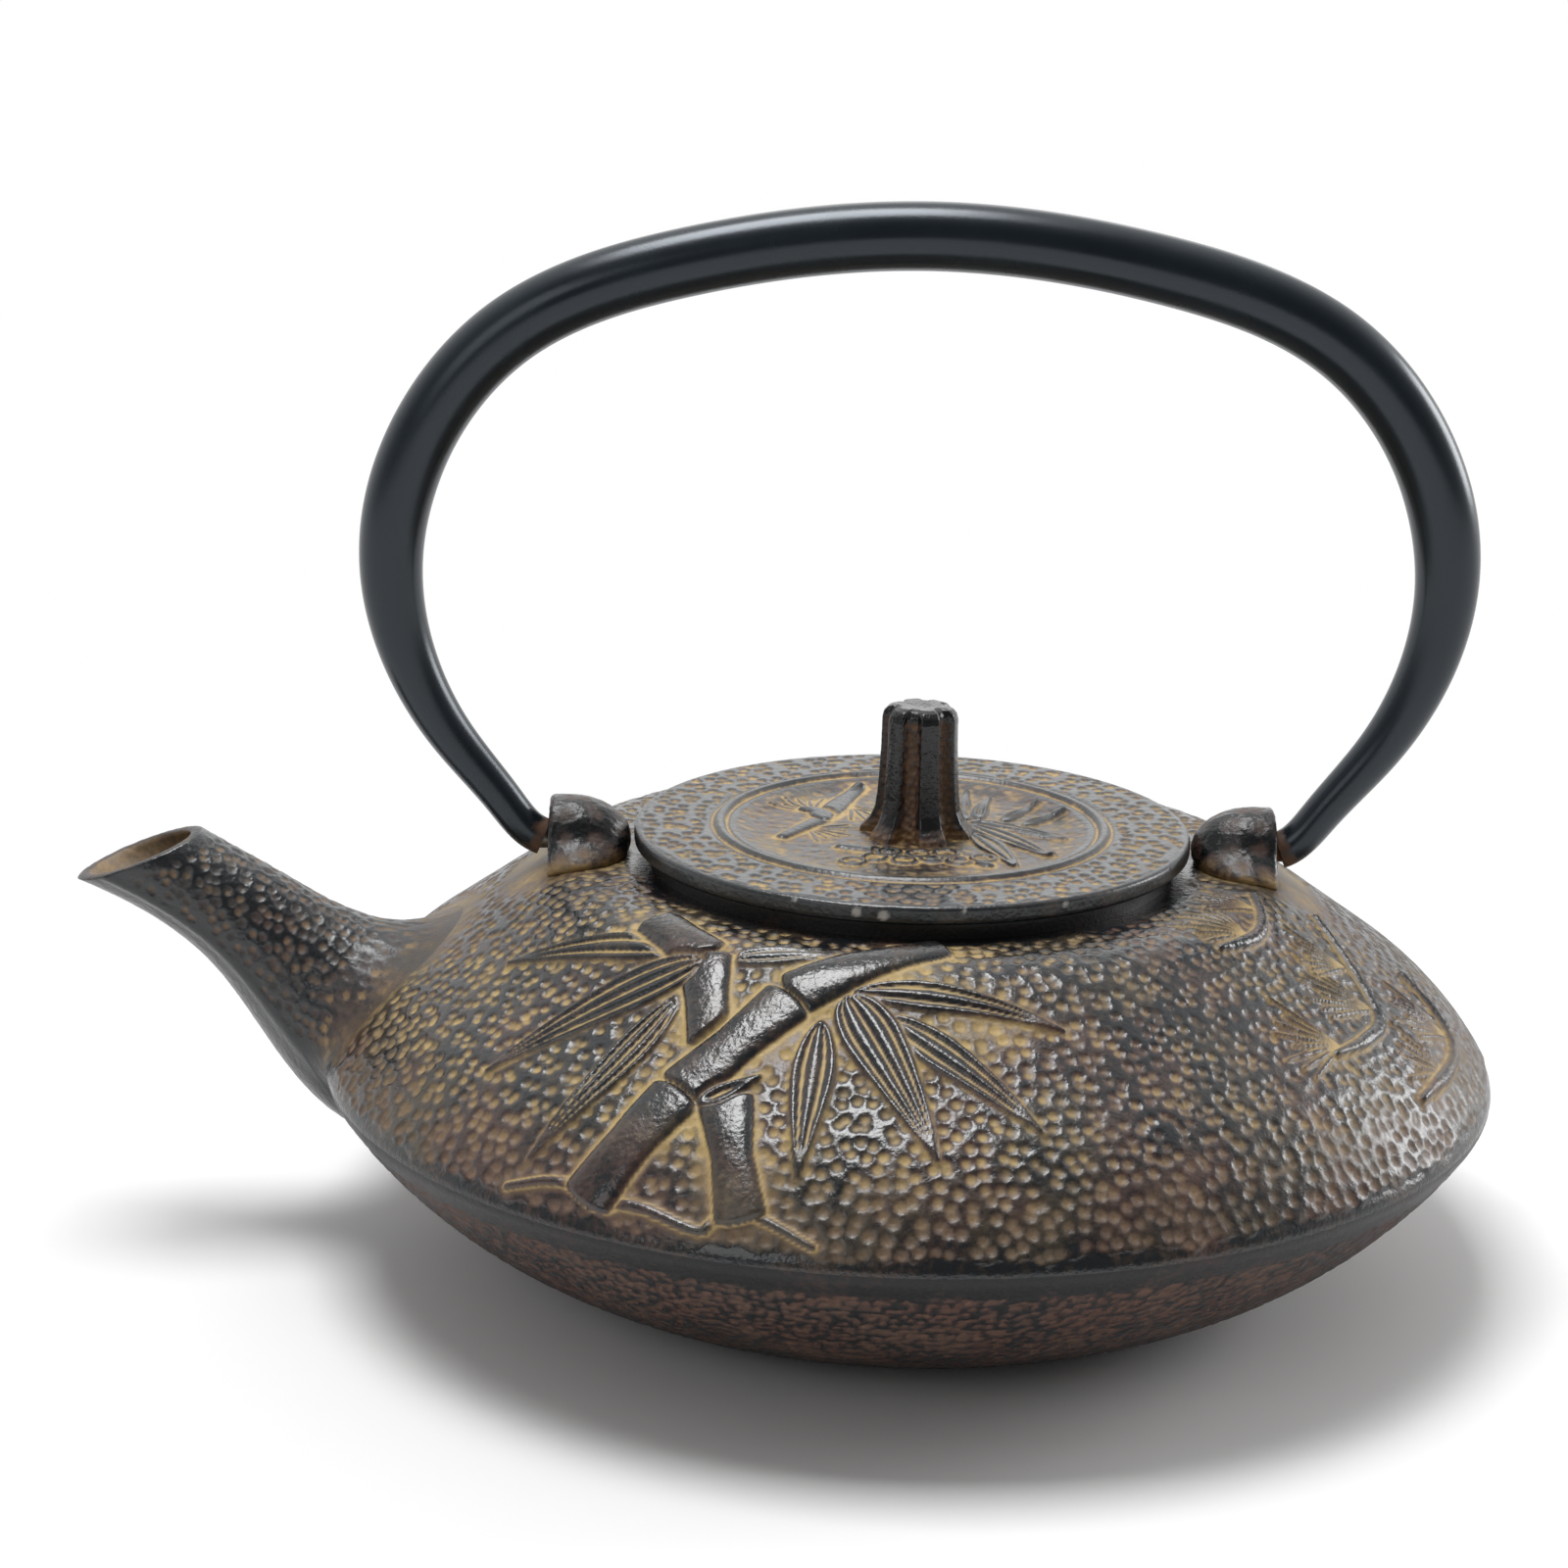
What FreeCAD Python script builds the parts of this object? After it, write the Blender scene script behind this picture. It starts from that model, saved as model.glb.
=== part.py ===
import FreeCAD, Part
import math
import os

# Cast-iron teapot: a flat round pot with a spout, a lid with a knob, a swinging bail and an infuser.
# Millimetres. The origin is the middle of the resting face, +Z is up and the spout points to -X.

# Pot outline, radius from the axis and height above the resting face
base_radius = 41.0
lower_flank_bulge = 4.0
belly_radius = 75.6
belly_height = 25.5
belly_edge_radius = 2.5
shoulder_radius = 64.8
shoulder_height = 38.0
shoulder_bulge = 0.9
crest_radius = 45.4
crest_height = 51.6
crest_edge_radius = 12.0
valley_radius = 36.5
valley_depth = 0.3
pot_wall = 3.5

# Mouth of the pot: a raised ring that carries the lid, and a rebate inside it for the infuser
mouth_radius = 28.2
rebate_width = 3.5
seat_width = 1.9
seat_rise = 2.3

# Spout, from the root inside the pot to a point past the lip: reach from the pot's axis, height,
# lean of the section in degrees, half height and half width of the section
spout_sections = (
    (52.0, 25.0, 15.0, 14.5, 13.5),
    (71.5, 29.0, 20.0, 12.8, 12.0),
    (78.5, 34.5, 27.0, 10.0, 9.2),
    (86.0, 41.8, 33.0, 7.4, 7.3),
    (94.5, 47.7, 38.0, 6.5, 6.9),
    (107.0, 54.3, 38.0, 7.2, 7.4),
)
spout_wall = 2.0
spout_tip_reach = 107.3
spout_tip_height = 47.0
spout_heel_reach = 91.5
spout_heel_height = 53.2

# Lugs that carry the bail, domed towards the lid, flat on the outside and spread at the foot
lug_radius = 5.5
lug_overhang = 1.0
lug_straight = 2.6
lug_edge_radius = 1.2
lug_foot_half_width = 8.5
lug_foot_rise = 5.5
lug_foot_drop = 4.0
lug_lid_gap = 0.4
pivot_rise = 1.8
lug_bore_depth = 7.0

# Bamboo and pine in low relief on the shoulder. A place on the shoulder laid out flat, as a cone's skin,
# is given across from the front line and out from the cone's tip; a leaf's half width comes last.
stalk_rise = 1.0
stalk_half_width = 3.2
stalks = (
    ((-32.5, 42.5), (-26.2, 50.6)),
    ((-25.6, 51.9), (-24.7, 63.6)),
    ((2.0, 49.5), (-14.4, 58.4)),
    ((-15.8, 59.7), (-27.2, 70.2)),
    ((-28.5, 71.5), (-38.8, 82.2)),
    ((-22.4, 73.2), (-20.8, 87.4)),
)
leaf_rise = 0.6
leaves = (
    ((-29.1, 49.5), (-52.8, 42.5), 1.9),
    ((-26.2, 51.8), (-52.8, 61.4), 2.8),
    ((-28.4, 56.7), (-46.3, 75.6), 2.1),
    ((-11.7, 63.0), (-14.2, 83.5), 2.2),
    ((-7.6, 58.9), (16.1, 63.1), 1.8),
    ((-4.6, 62.4), (13.0, 77.4), 2.1),
    ((-8.6, 59.6), (1.3, 81.7), 3.1),
)
branch_half_width = 1.0
branches = (
    ((46.8, 28.0), (45.6, 36.5), (37.6, 44.4)),
    ((56.7, 27.0), (61.7, 46.0), (51.8, 56.4)),
    ((70.5, 29.5), (75.9, 38.2), (65.1, 57.0)),
)

# Lid, with a skirt that drops into the infuser
lid_radius = 35.6
lid_edge_thickness = 2.3
lid_edge_radius = 0.5
lid_bead_radius = 24.7
lid_bead_width = 1.4
lid_bead_rise = 0.45
dish_rim_radius = 23.0
dish_floor_radius = 19.5
dish_depth = 0.9
lid_middle_thickness = 2.8
skirt_depth = 5.0
skirt_thickness = 2.4
skirt_clearance = 0.8

# Knob of the lid: a six-lobed column on a spread foot, with a spigot peened over under the lid.
# It is set by hand, a little off the middle.
knob_lobes = 6
knob_groove_share = 0.8
knob_offset = 0.7
knob_height = 16.8
knob_foot_radius = 7.0
knob_foot_height = 1.8
knob_column_radius = 5.3
knob_column_start = 4.5
knob_neck_radius = 4.6
knob_cap_height = 2.4
knob_cap_radius = 3.0
knob_spigot_radius = 2.0
knob_head_radius = 3.4
knob_head_thickness = 1.2

# Bail: a hollow tube on a curve through a few points, drawn in towards its two ends
bail_rise = 77.6
bail_half_width = 66.5
bail_widest_rise = 35.4
bail_crown_inset = 36.5
bail_crown_drop = 3.8
bail_corner_inset = 14.4
bail_corner_drop = 13.1
bail_flank_inset = 7.2
bail_flank_rise = 13.6
bail_knee_reach = 4.9
bail_knee_rise = 4.7
bail_diameter = 8.5
bail_end_diameter = 4.8
bail_taper_length = 54.0
bail_wall = 1.0
bail_solid_end = 14.0
bail_section_count = 25
bail_neck_radius = 2.6

# Pins of the bail
pin_radius = 1.5
pin_clearance = 0.05
pin_end_gap = 0.3
pin_neck = 1.0
pin_tail = 2.0

# Infuser: pressed rings and mesh
infuser_clearance = 0.6
infuser_sheet = 0.6
infuser_mesh = 0.6
infuser_rim_clearance = 0.4
infuser_headroom = 0.3
infuser_depth = 34.0
infuser_collar_depth = 5.0
infuser_band_height = 3.5
infuser_lip_width = 2.0

# Places that several pieces share
valley_height = crest_height - valley_depth
rebate_radius = mouth_radius + rebate_width
seat_radius = rebate_radius + seat_width
seat_height = valley_height + seat_rise
rebate_height = seat_height - infuser_sheet - infuser_headroom
pivot_height = crest_height + pivot_rise
lug_face = crest_radius + lug_overhang
tube_end = lug_face + pin_neck
infuser_outer = mouth_radius - infuser_clearance
mesh_outer = infuser_outer - infuser_sheet
mesh_inner = mesh_outer - infuser_mesh
infuser_bottom = rebate_height - infuser_depth
lid_top = seat_height + lid_edge_thickness
dish_floor = lid_top - dish_depth
dish_underside = dish_floor - lid_middle_thickness

V = FreeCAD.Vector
ORIGIN = V(0, 0, 0)
X_AXIS = V(1, 0, 0)
Y_AXIS = V(0, 1, 0)
Z_AXIS = V(0, 0, 1)


def line(start, end):
    return Part.LineSegment(V(start[0], 0, start[1]), V(end[0], 0, end[1])).toShape()


def bulged(start, end, bulge):
    """Arc from start to end that swells by bulge to the right of the way from start to end."""
    chord = math.hypot(end[0] - start[0], end[1] - start[1])
    aside_x = (end[1] - start[1]) / chord * bulge
    aside_z = (start[0] - end[0]) / chord * bulge
    middle = V((start[0] + end[0]) / 2 + aside_x, 0, (start[1] + end[1]) / 2 + aside_z)
    return Part.Arc(V(start[0], 0, start[1]), middle, V(end[0], 0, end[1])).toShape()


def turned(outline):
    """Solid of revolution about the pot's axis from a closed outline of (radius, height) points."""
    edges = [line(a, b) for a, b in zip(outline, outline[1:] + outline[:1])]
    return Part.Face(Part.Wire(edges)).revolve(ORIGIN, Z_AXIS, 360)


def drum(radius, bottom, top):
    return Part.makeCylinder(radius, top - bottom, V(0, 0, bottom))


def ring(inner, outer, bottom, top):
    return drum(outer, bottom, top).cut(drum(inner, bottom, top))


def round_edge(solid, radius, height, fillet):
    """Fillet the circular edge about the pot's axis that lies nearest to the given radius and height."""

    def distance(edge):
        return math.hypot(edge.Curve.Radius - radius, edge.Curve.Center.z - height)

    circles = [edge for edge in solid.Edges if isinstance(edge.Curve, Part.Circle)]
    return solid.makeFillet(fillet, [min(circles, key=distance)])


def mirrored(solid):
    return solid.mirror(ORIGIN, X_AXIS)


def pot_section(axis_offset):
    """Half section of the pot's outline, closed along a line at axis_offset from the pot's axis."""
    base = (base_radius, 0)
    belly = (belly_radius, belly_height)
    shoulder = (shoulder_radius, shoulder_height)
    crest = (crest_radius, crest_height)
    valley = (valley_radius, valley_height)
    edges = [
        line((axis_offset, 0), base),
        bulged(base, belly, lower_flank_bulge),
        bulged(belly, shoulder, shoulder_bulge),
        line(shoulder, crest),
        line(crest, valley),
        line(valley, (axis_offset, valley_height)),
        line((axis_offset, valley_height), (axis_offset, 0)),
    ]
    return Part.Face(Part.Wire(edges))


def pot_cavity():
    inner = pot_section(-pot_wall).makeOffset2D(-pot_wall, join=2)
    return inner.revolve(ORIGIN, Z_AXIS, 360)


def oval(centre, aside, crown):
    """Closed oval about centre, reaching out by the vectors aside and crown."""
    along = aside.cross(crown).normalize()
    place = FreeCAD.Matrix(
        aside.x, crown.x, along.x, centre.x,
        aside.y, crown.y, along.y, centre.y,
        aside.z, crown.z, along.z, centre.z,
    )
    circle = Part.Wire([Part.Circle(ORIGIN, Z_AXIS, 1).toShape()])
    return circle.transformGeometry(place)


def spout(inset):
    """Spout inset below its skin, each section leaning towards the pot at its upper end."""
    wires = []
    for reach, height, lean, half_height, half_width in spout_sections:
        tilt = math.radians(lean)
        upright = V(math.sin(tilt), 0, math.cos(tilt))
        wires.append(oval(V(-reach, 0, height), Y_AXIS * (half_width - inset), upright * (half_height - inset)))
    return Part.makeLoft(wires, True, False)


def past_the_lip():
    """Everything beyond the slanted plane of the spout's lip."""
    tip = V(-spout_tip_reach, 0, spout_tip_height)
    heel = V(-spout_heel_reach, 0, spout_heel_height)
    slope = (heel - tip).normalize()
    outward = Y_AXIS.cross(slope) * -1
    size = 2 * spout_tip_reach
    corner = tip - slope * (size / 2) - Y_AXIS * (size / 2)
    sheet = Part.makePolygon([
        corner,
        corner + slope * size,
        corner + slope * size + Y_AXIS * size,
        corner + Y_AXIS * size,
        corner,
    ])
    return Part.Face(sheet).extrude(outward * size)


def half_dome(start, end, half_width, rise, height):
    """Half of an egg about the line at the given height, from its flat face at start to its tip at end."""
    length = start - end
    egg = Part.makeSphere(1.0, ORIGIN, X_AXIS)
    stretch = FreeCAD.Matrix()
    stretch.scale(length, half_width, rise)
    egg = egg.transformGeometry(stretch)
    egg.translate(V(start, 0, height))
    before_face = Part.makeBox(2 * length, 4 * half_width, 4 * rise)
    before_face.translate(V(start - 2 * length, -2 * half_width, height - 2 * rise))
    return egg.common(before_face)


def lug():
    """Bullet about the bail's pivot line on the +X side, with a flat outer face and a spread foot."""
    inner_end = lid_radius + lug_lid_gap
    dome_start = lug_face - lug_straight
    dome = half_dome(dome_start, inner_end, lug_radius, lug_radius, pivot_height)
    foot = half_dome(lug_face, inner_end, lug_foot_half_width, lug_foot_rise, pivot_height - lug_foot_drop)
    barrel = Part.makeCylinder(lug_radius, lug_straight, V(dome_start, 0, pivot_height), X_AXIS)
    face_edges = [edge for edge in barrel.Edges if edge.BoundBox.XMin > lug_face - lug_straight / 2]
    barrel = barrel.makeFillet(lug_edge_radius, face_edges)
    return dome.fuse([barrel, foot]).removeSplitter()


def lug_bore():
    start = V(lug_face - lug_bore_depth, 0, pivot_height)
    return Part.makeCylinder(pin_radius + pin_clearance, 2 * lug_bore_depth, start, X_AXIS)


def rounded(pot, growth):
    """Pot with its belly and crest rounded, as far out as it has grown."""
    pot = round_edge(pot, belly_radius + growth, belly_height, belly_edge_radius + growth)
    return round_edge(pot, crest_radius, crest_height + growth, crest_edge_radius + growth)


def plug(places, shaped):
    """Prism through the pot's wall on the outline that shaped draws through places on the flat shoulder."""
    fall = math.atan2(crest_height - shoulder_height, shoulder_radius - crest_radius)
    points = []
    for across, out in places:
        slant = math.hypot(across, out)
        turn = math.atan2(across, out) / math.cos(fall)
        reach = slant * math.cos(fall)
        height = crest_height + crest_radius * math.tan(fall) - slant * math.sin(fall)
        points.append(V(reach * math.sin(turn), -reach * math.cos(turn), height))
    middle = (points[0] + points[len(points) // 2]) / 2
    turn = math.atan2(middle.x, -middle.y)
    outward = V(math.sin(fall) * math.sin(turn), -math.sin(fall) * math.cos(turn), math.cos(fall))
    depth = 2 * pot_wall
    flat = [point - outward * ((point - middle).dot(outward) + depth) for point in points]
    return Part.Face(shaped(flat)).extrude(outward * 2 * depth)


def band(start, end, half_width):
    """Prism on a straight band between two places on the flat shoulder."""
    length = math.hypot(end[0] - start[0], end[1] - start[1])
    aside_x = (end[1] - start[1]) / length * half_width
    aside_y = (start[0] - end[0]) / length * half_width
    corners = [
        (start[0] + aside_x, start[1] + aside_y),
        (end[0] + aside_x, end[1] + aside_y),
        (end[0] - aside_x, end[1] - aside_y),
        (start[0] - aside_x, start[1] - aside_y),
    ]
    return plug(corners, lambda flat: Part.makePolygon(flat + flat[:1]))


def leaf(base, tip, half_width):
    """Prism on a leaf between two places on the flat shoulder."""
    length = math.hypot(tip[0] - base[0], tip[1] - base[1])
    middle_x = (base[0] + tip[0]) / 2
    middle_y = (base[1] + tip[1]) / 2
    aside_x = (tip[1] - base[1]) / length * half_width
    aside_y = (base[0] - tip[0]) / length * half_width
    sides = [
        base,
        (middle_x + aside_x, middle_y + aside_y),
        tip,
        (middle_x - aside_x, middle_y - aside_y),
    ]
    return plug(sides, lambda flat: Part.Wire([
        Part.Arc(flat[0], flat[1], flat[2]).toShape(),
        Part.Arc(flat[2], flat[3], flat[0]).toShape(),
    ]))


def relief(plugs, rise):
    """Plugs cut off where they stand out from the pot by the given rise."""
    grown = pot_section(rise).makeOffset2D(rise, join=2).revolve(ORIGIN, Z_AXIS, 360)
    return [rounded(grown, rise).common(piece) for piece in plugs]


def pot_relief():
    bands = [band(start, end, stalk_half_width) for start, end in stalks]
    for branch in branches:
        bands += [band(start, end, branch_half_width) for start, end in zip(branch, branch[1:])]
    return relief(bands, stalk_rise) + relief([leaf(*places) for places in leaves], leaf_rise)


def make_pot_body():
    pot = rounded(pot_section(0).revolve(ORIGIN, Z_AXIS, 360), 0)
    seat = drum(seat_radius, valley_height - pot_wall / 2, seat_height)
    pot = pot.fuse([seat, spout(0).cut(past_the_lip()), lug(), mirrored(lug())] + pot_relief())
    pot = pot.cut(pot_cavity())
    pot = pot.cut(drum(mouth_radius, belly_height, rebate_height))
    pot = pot.cut(drum(rebate_radius, rebate_height, seat_height))
    pot = pot.cut(spout(spout_wall))
    return pot.cut([lug_bore(), mirrored(lug_bore())])


def knob_spigot():
    return Part.makeCylinder(knob_spigot_radius, lid_middle_thickness, V(knob_offset, 0, dish_underside))


def make_lid():
    skirt_outer = mesh_inner - skirt_clearance
    skirt_inner = skirt_outer - skirt_thickness
    bead_inside = lid_bead_radius - lid_bead_width / 2
    bead_outside = lid_bead_radius + lid_bead_width / 2
    outline = [
        (0, dish_underside),
        (skirt_inner, dish_underside),
        (skirt_inner, seat_height - skirt_depth),
        (skirt_outer, seat_height - skirt_depth),
        (skirt_outer, seat_height),
        (lid_radius - lid_edge_radius, seat_height),
        (lid_radius, seat_height + lid_edge_radius),
        (lid_radius, lid_top - lid_edge_radius),
        (lid_radius - lid_edge_radius, lid_top),
        (bead_outside, lid_top),
        (lid_bead_radius, lid_top + lid_bead_rise),
        (bead_inside, lid_top),
        (dish_rim_radius, lid_top),
        (dish_floor_radius, dish_floor),
        (0, dish_floor),
    ]
    return turned(outline).cut(knob_spigot())


def knob_outline(radius, height):
    """Closed ring of round lobes with grooves between them."""
    arcs = []
    half_lobe = math.pi / knob_lobes
    for lobe in range(knob_lobes):
        crest = 2 * half_lobe * lobe
        stops = []
        for angle, reach in ((-half_lobe, knob_groove_share), (0, 1), (half_lobe, knob_groove_share)):
            turn = crest + angle
            stops.append(V(radius * reach * math.cos(turn), radius * reach * math.sin(turn), height))
        arcs.append(Part.Arc(*stops).toShape())
    return Part.Wire(arcs)


def make_lid_knob():
    top = dish_floor + knob_height
    column = Part.makeLoft([
        knob_outline(knob_foot_radius, dish_floor),
        knob_outline((knob_foot_radius + knob_column_radius) / 2, dish_floor + knob_foot_height),
        knob_outline(knob_column_radius, dish_floor + knob_column_start),
        knob_outline(knob_neck_radius, top - knob_cap_height),
        knob_outline(knob_cap_radius, top),
    ], True, False)
    head = drum(knob_head_radius, dish_underside - knob_head_thickness, dish_underside)
    column.translate(V(knob_offset, 0, 0))
    head.translate(V(knob_offset, 0, 0))
    return column.fuse([knob_spigot(), head])


def bail_curve():
    top = pivot_height + bail_rise
    half = [
        (tube_end, pivot_height),
        (tube_end + bail_knee_reach, pivot_height + bail_knee_rise),
        (bail_half_width - bail_flank_inset, pivot_height + bail_flank_rise),
        (bail_half_width, pivot_height + bail_widest_rise),
        (bail_half_width - bail_corner_inset, top - bail_corner_drop),
        (bail_half_width - bail_crown_inset, top - bail_crown_drop),
    ]
    points = [V(x, 0, z) for x, z in half]
    points.append(V(0, 0, top))
    points += [V(-x, 0, z) for x, z in reversed(half)]
    curve = Part.BSplineCurve()
    curve.interpolate(Points=points, InitialTangent=X_AXIS, FinalTangent=X_AXIS, Scale=False)
    return curve


def bail_radius(from_end):
    share = min(from_end / bail_taper_length, 1)
    eased = share * share * (3 - 2 * share)
    return (bail_end_diameter + (bail_diameter - bail_end_diameter) * eased) / 2


def bail_rod(inset, from_end):
    """Tapered rod along the bail's curve, inset below its skin and stopping short of both ends."""
    curve = bail_curve()
    length = curve.length()
    wires = []
    for index in range(bail_section_count):
        run = from_end + (length - 2 * from_end) * index / (bail_section_count - 1)
        at = curve.parameterAtDistance(run, curve.FirstParameter)
        radius = bail_radius(min(run, length - run)) - inset
        outward = Y_AXIS.cross(V(*curve.tangent(at)[0]))
        wires.append(oval(curve.value(at), Y_AXIS * radius, outward * radius))
    return Part.makeLoft(wires, True, False)


def pin(start, end):
    return Part.makeCylinder(pin_radius, end - start, V(start, 0, pivot_height), X_AXIS)


def pin_socket():
    return pin(tube_end - pin_neck / 2, tube_end + pin_tail)


def bail_neck():
    """Round-ended stub at the +X end of the bail, about the pin's tail."""
    stub = Part.makeCylinder(bail_neck_radius, pin_tail, V(tube_end, 0, pivot_height), X_AXIS)
    cap = Part.makeSphere(bail_neck_radius, V(tube_end + pin_tail, 0, pivot_height), X_AXIS, 0, 90, 360)
    return stub.fuse(cap)


def make_bail_tube():
    tube = bail_rod(0, 0).fuse([bail_neck(), mirrored(bail_neck())])
    tube = tube.cut(bail_rod(bail_wall, bail_solid_end))
    return tube.cut([pin_socket(), mirrored(pin_socket())])


def make_bail_pin_rear_side():
    return pin(lug_face - lug_bore_depth + pin_end_gap, tube_end + pin_tail)


def make_bail_pin_spout_side():
    return mirrored(make_bail_pin_rear_side())


def make_infuser_rim():
    flange = ring(mesh_outer, rebate_radius - infuser_rim_clearance, rebate_height, rebate_height + infuser_sheet)
    collar = ring(mesh_outer, infuser_outer, rebate_height - infuser_collar_depth, rebate_height)
    return flange.fuse(collar).removeSplitter()


def make_infuser_wall():
    return ring(mesh_inner, mesh_outer, infuser_bottom + infuser_sheet, rebate_height + infuser_sheet)


def make_infuser_band():
    sleeve = ring(mesh_outer, infuser_outer, infuser_bottom, infuser_bottom + infuser_band_height)
    lip = ring(mesh_inner - infuser_lip_width, mesh_outer, infuser_bottom, infuser_bottom + infuser_sheet)
    return sleeve.fuse(lip).removeSplitter()


def make_infuser_base():
    return drum(mesh_inner, infuser_bottom + infuser_sheet, infuser_bottom + infuser_sheet + infuser_mesh)


pieces = {
    "pot_body": make_pot_body,
    "lid": make_lid,
    "lid_knob": make_lid_knob,
    "bail_tube": make_bail_tube,
    "bail_pin_spout_side": make_bail_pin_spout_side,
    "bail_pin_rear_side": make_bail_pin_rear_side,
    "infuser_rim": make_infuser_rim,
    "infuser_wall": make_infuser_wall,
    "infuser_band": make_infuser_band,
    "infuser_base": make_infuser_base,
}

os.makedirs("parts", exist_ok=True)
for name, make in pieces.items():
    shape = make()
    box = shape.BoundBox
    print(name, shape.isValid(), len(shape.Solids), round(shape.Volume, 1),
          [round(v, 2) for v in (box.XMin, box.YMin, box.ZMin, box.XMax, box.YMax, box.ZMax)])
    shape.exportStep("parts/" + name + ".step")
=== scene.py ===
import bpy
import math
import numpy as np
from mathutils import Matrix


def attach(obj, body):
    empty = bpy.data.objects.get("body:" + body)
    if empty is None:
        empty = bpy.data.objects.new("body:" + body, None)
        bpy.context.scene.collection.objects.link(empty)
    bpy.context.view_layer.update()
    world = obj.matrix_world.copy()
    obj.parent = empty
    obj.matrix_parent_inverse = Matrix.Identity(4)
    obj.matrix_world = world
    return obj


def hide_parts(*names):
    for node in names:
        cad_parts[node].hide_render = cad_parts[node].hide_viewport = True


# Cast-iron teapot with a bail, a lid and an infuser. Sizes are in millimetres until a mesh is made,
# with the origin in the middle of the resting face, +Z up and the spout towards -X.

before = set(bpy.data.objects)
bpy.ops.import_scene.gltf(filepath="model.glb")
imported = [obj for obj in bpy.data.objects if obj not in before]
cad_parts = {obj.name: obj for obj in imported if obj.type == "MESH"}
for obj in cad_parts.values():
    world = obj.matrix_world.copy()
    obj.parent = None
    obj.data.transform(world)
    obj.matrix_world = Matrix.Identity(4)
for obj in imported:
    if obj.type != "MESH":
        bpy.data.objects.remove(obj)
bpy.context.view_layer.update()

# Wall of the pot
# The upper half of a sand-cast iron bowl, from its widest line up to the mouth. Pits are stamped all
# over it, bamboo and pine stand on it in low relief, and gold is left in the hollows of the dark lacquer.

MM = 0.001
base_edge = (41.0, 0.0)
belly = (75.6, 25.5)
shoulder = (64.8, 38.0)
crest = (45.4, 51.6)
seat_foot = (33.6, 51.3)
flank_bulge = 4.0
shoulder_bulge = 0.9
belly_softening = 1.5
crest_softening = 4.0
side_step = 0.5
wall_step = 0.28
wall_columns = 1440
wall_parts = ("pot_wall_spout_side", "pot_wall_front", "pot_wall_rear_side")
pit_spacing = 2.05
pit_radius = 1.0
pit_depth = 0.36
pit_straying = 0.33
pit_roundness = 1.8
tone_seed = 5
seam_edge = 1.5
seam_step = 0.25
mouth_ring = 36.4
bowl_slope = math.atan2(crest[1] - shoulder[1], shoulder[0] - crest[0])


def eased(share):
    share = np.clip(share, 0, 1)
    return share * share * (3 - 2 * share)


def swelling(start, end, bulge, count=80):
    """Points of a shallow arc from start to end that swells by bulge to its right."""
    start, end = np.array(start), np.array(end)
    chord = end - start
    aside = np.array([chord[1], -chord[0]]) / np.hypot(*chord)
    share = np.linspace(0, 1, count)[:, None]
    return start + chord * share + aside * bulge * 4 * share * (1 - share)


def lengths(path):
    steps = np.linalg.norm(np.diff(path, axis=0), axis=1)
    return np.concatenate([[0], np.cumsum(steps)])


def walked(path, run):
    """Points of a path at the given lengths from its start."""
    done = lengths(path)
    return np.stack([np.interp(run, done, part) for part in np.transpose(path)], -1)


def softened(path, corner, reach):
    """Path with a corner swapped for a bend that starts reach before it and ends reach after it."""
    run = lengths(path)
    at = run[np.argmin(np.linalg.norm(path - np.array(corner), axis=1))]
    first, last = walked(path, np.array([at - reach, at + reach]))
    share = np.linspace(0, 1, 14)[:, None]
    bend = first * (1 - share) ** 2 + np.array(corner) * 2 * share * (1 - share) + last * share ** 2
    return np.vstack([path[run < at - reach - 0.01], bend, path[run > at + reach + 0.01]])


def bent(path):
    """Path with its corners cut off twice, as a drawn line goes round them."""
    path = np.array(path, float)
    for _ in range(2):
        steps = np.stack([0.75 * path[:-1] + 0.25 * path[1:], 0.25 * path[:-1] + 0.75 * path[1:]], 1)
        path = np.vstack([path[:1], steps.reshape(-1, 2), path[-1:]])
    return path


def evenly(path, step):
    length = lengths(path)[-1]
    return walked(path, np.linspace(0, length, max(2, round(length / step) + 1)))


def circled(columns):
    """Angles of so many columns, from the back round to the back."""
    return np.linspace(-math.pi, math.pi, columns, endpoint=False)


def turned(path, columns):
    """Rings about the pot's axis for a path of (radius, height) points."""
    turn = circled(columns)
    radius, height = path[:, :1], path[:, 1:]
    return np.stack([radius * np.sin(turn), -radius * np.cos(turn), height + 0 * turn], -1)


def placed(name, data):
    """New object in the scene for its data."""
    piece = bpy.data.objects.new(name, data)
    bpy.context.scene.collection.objects.link(piece)
    return piece


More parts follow.
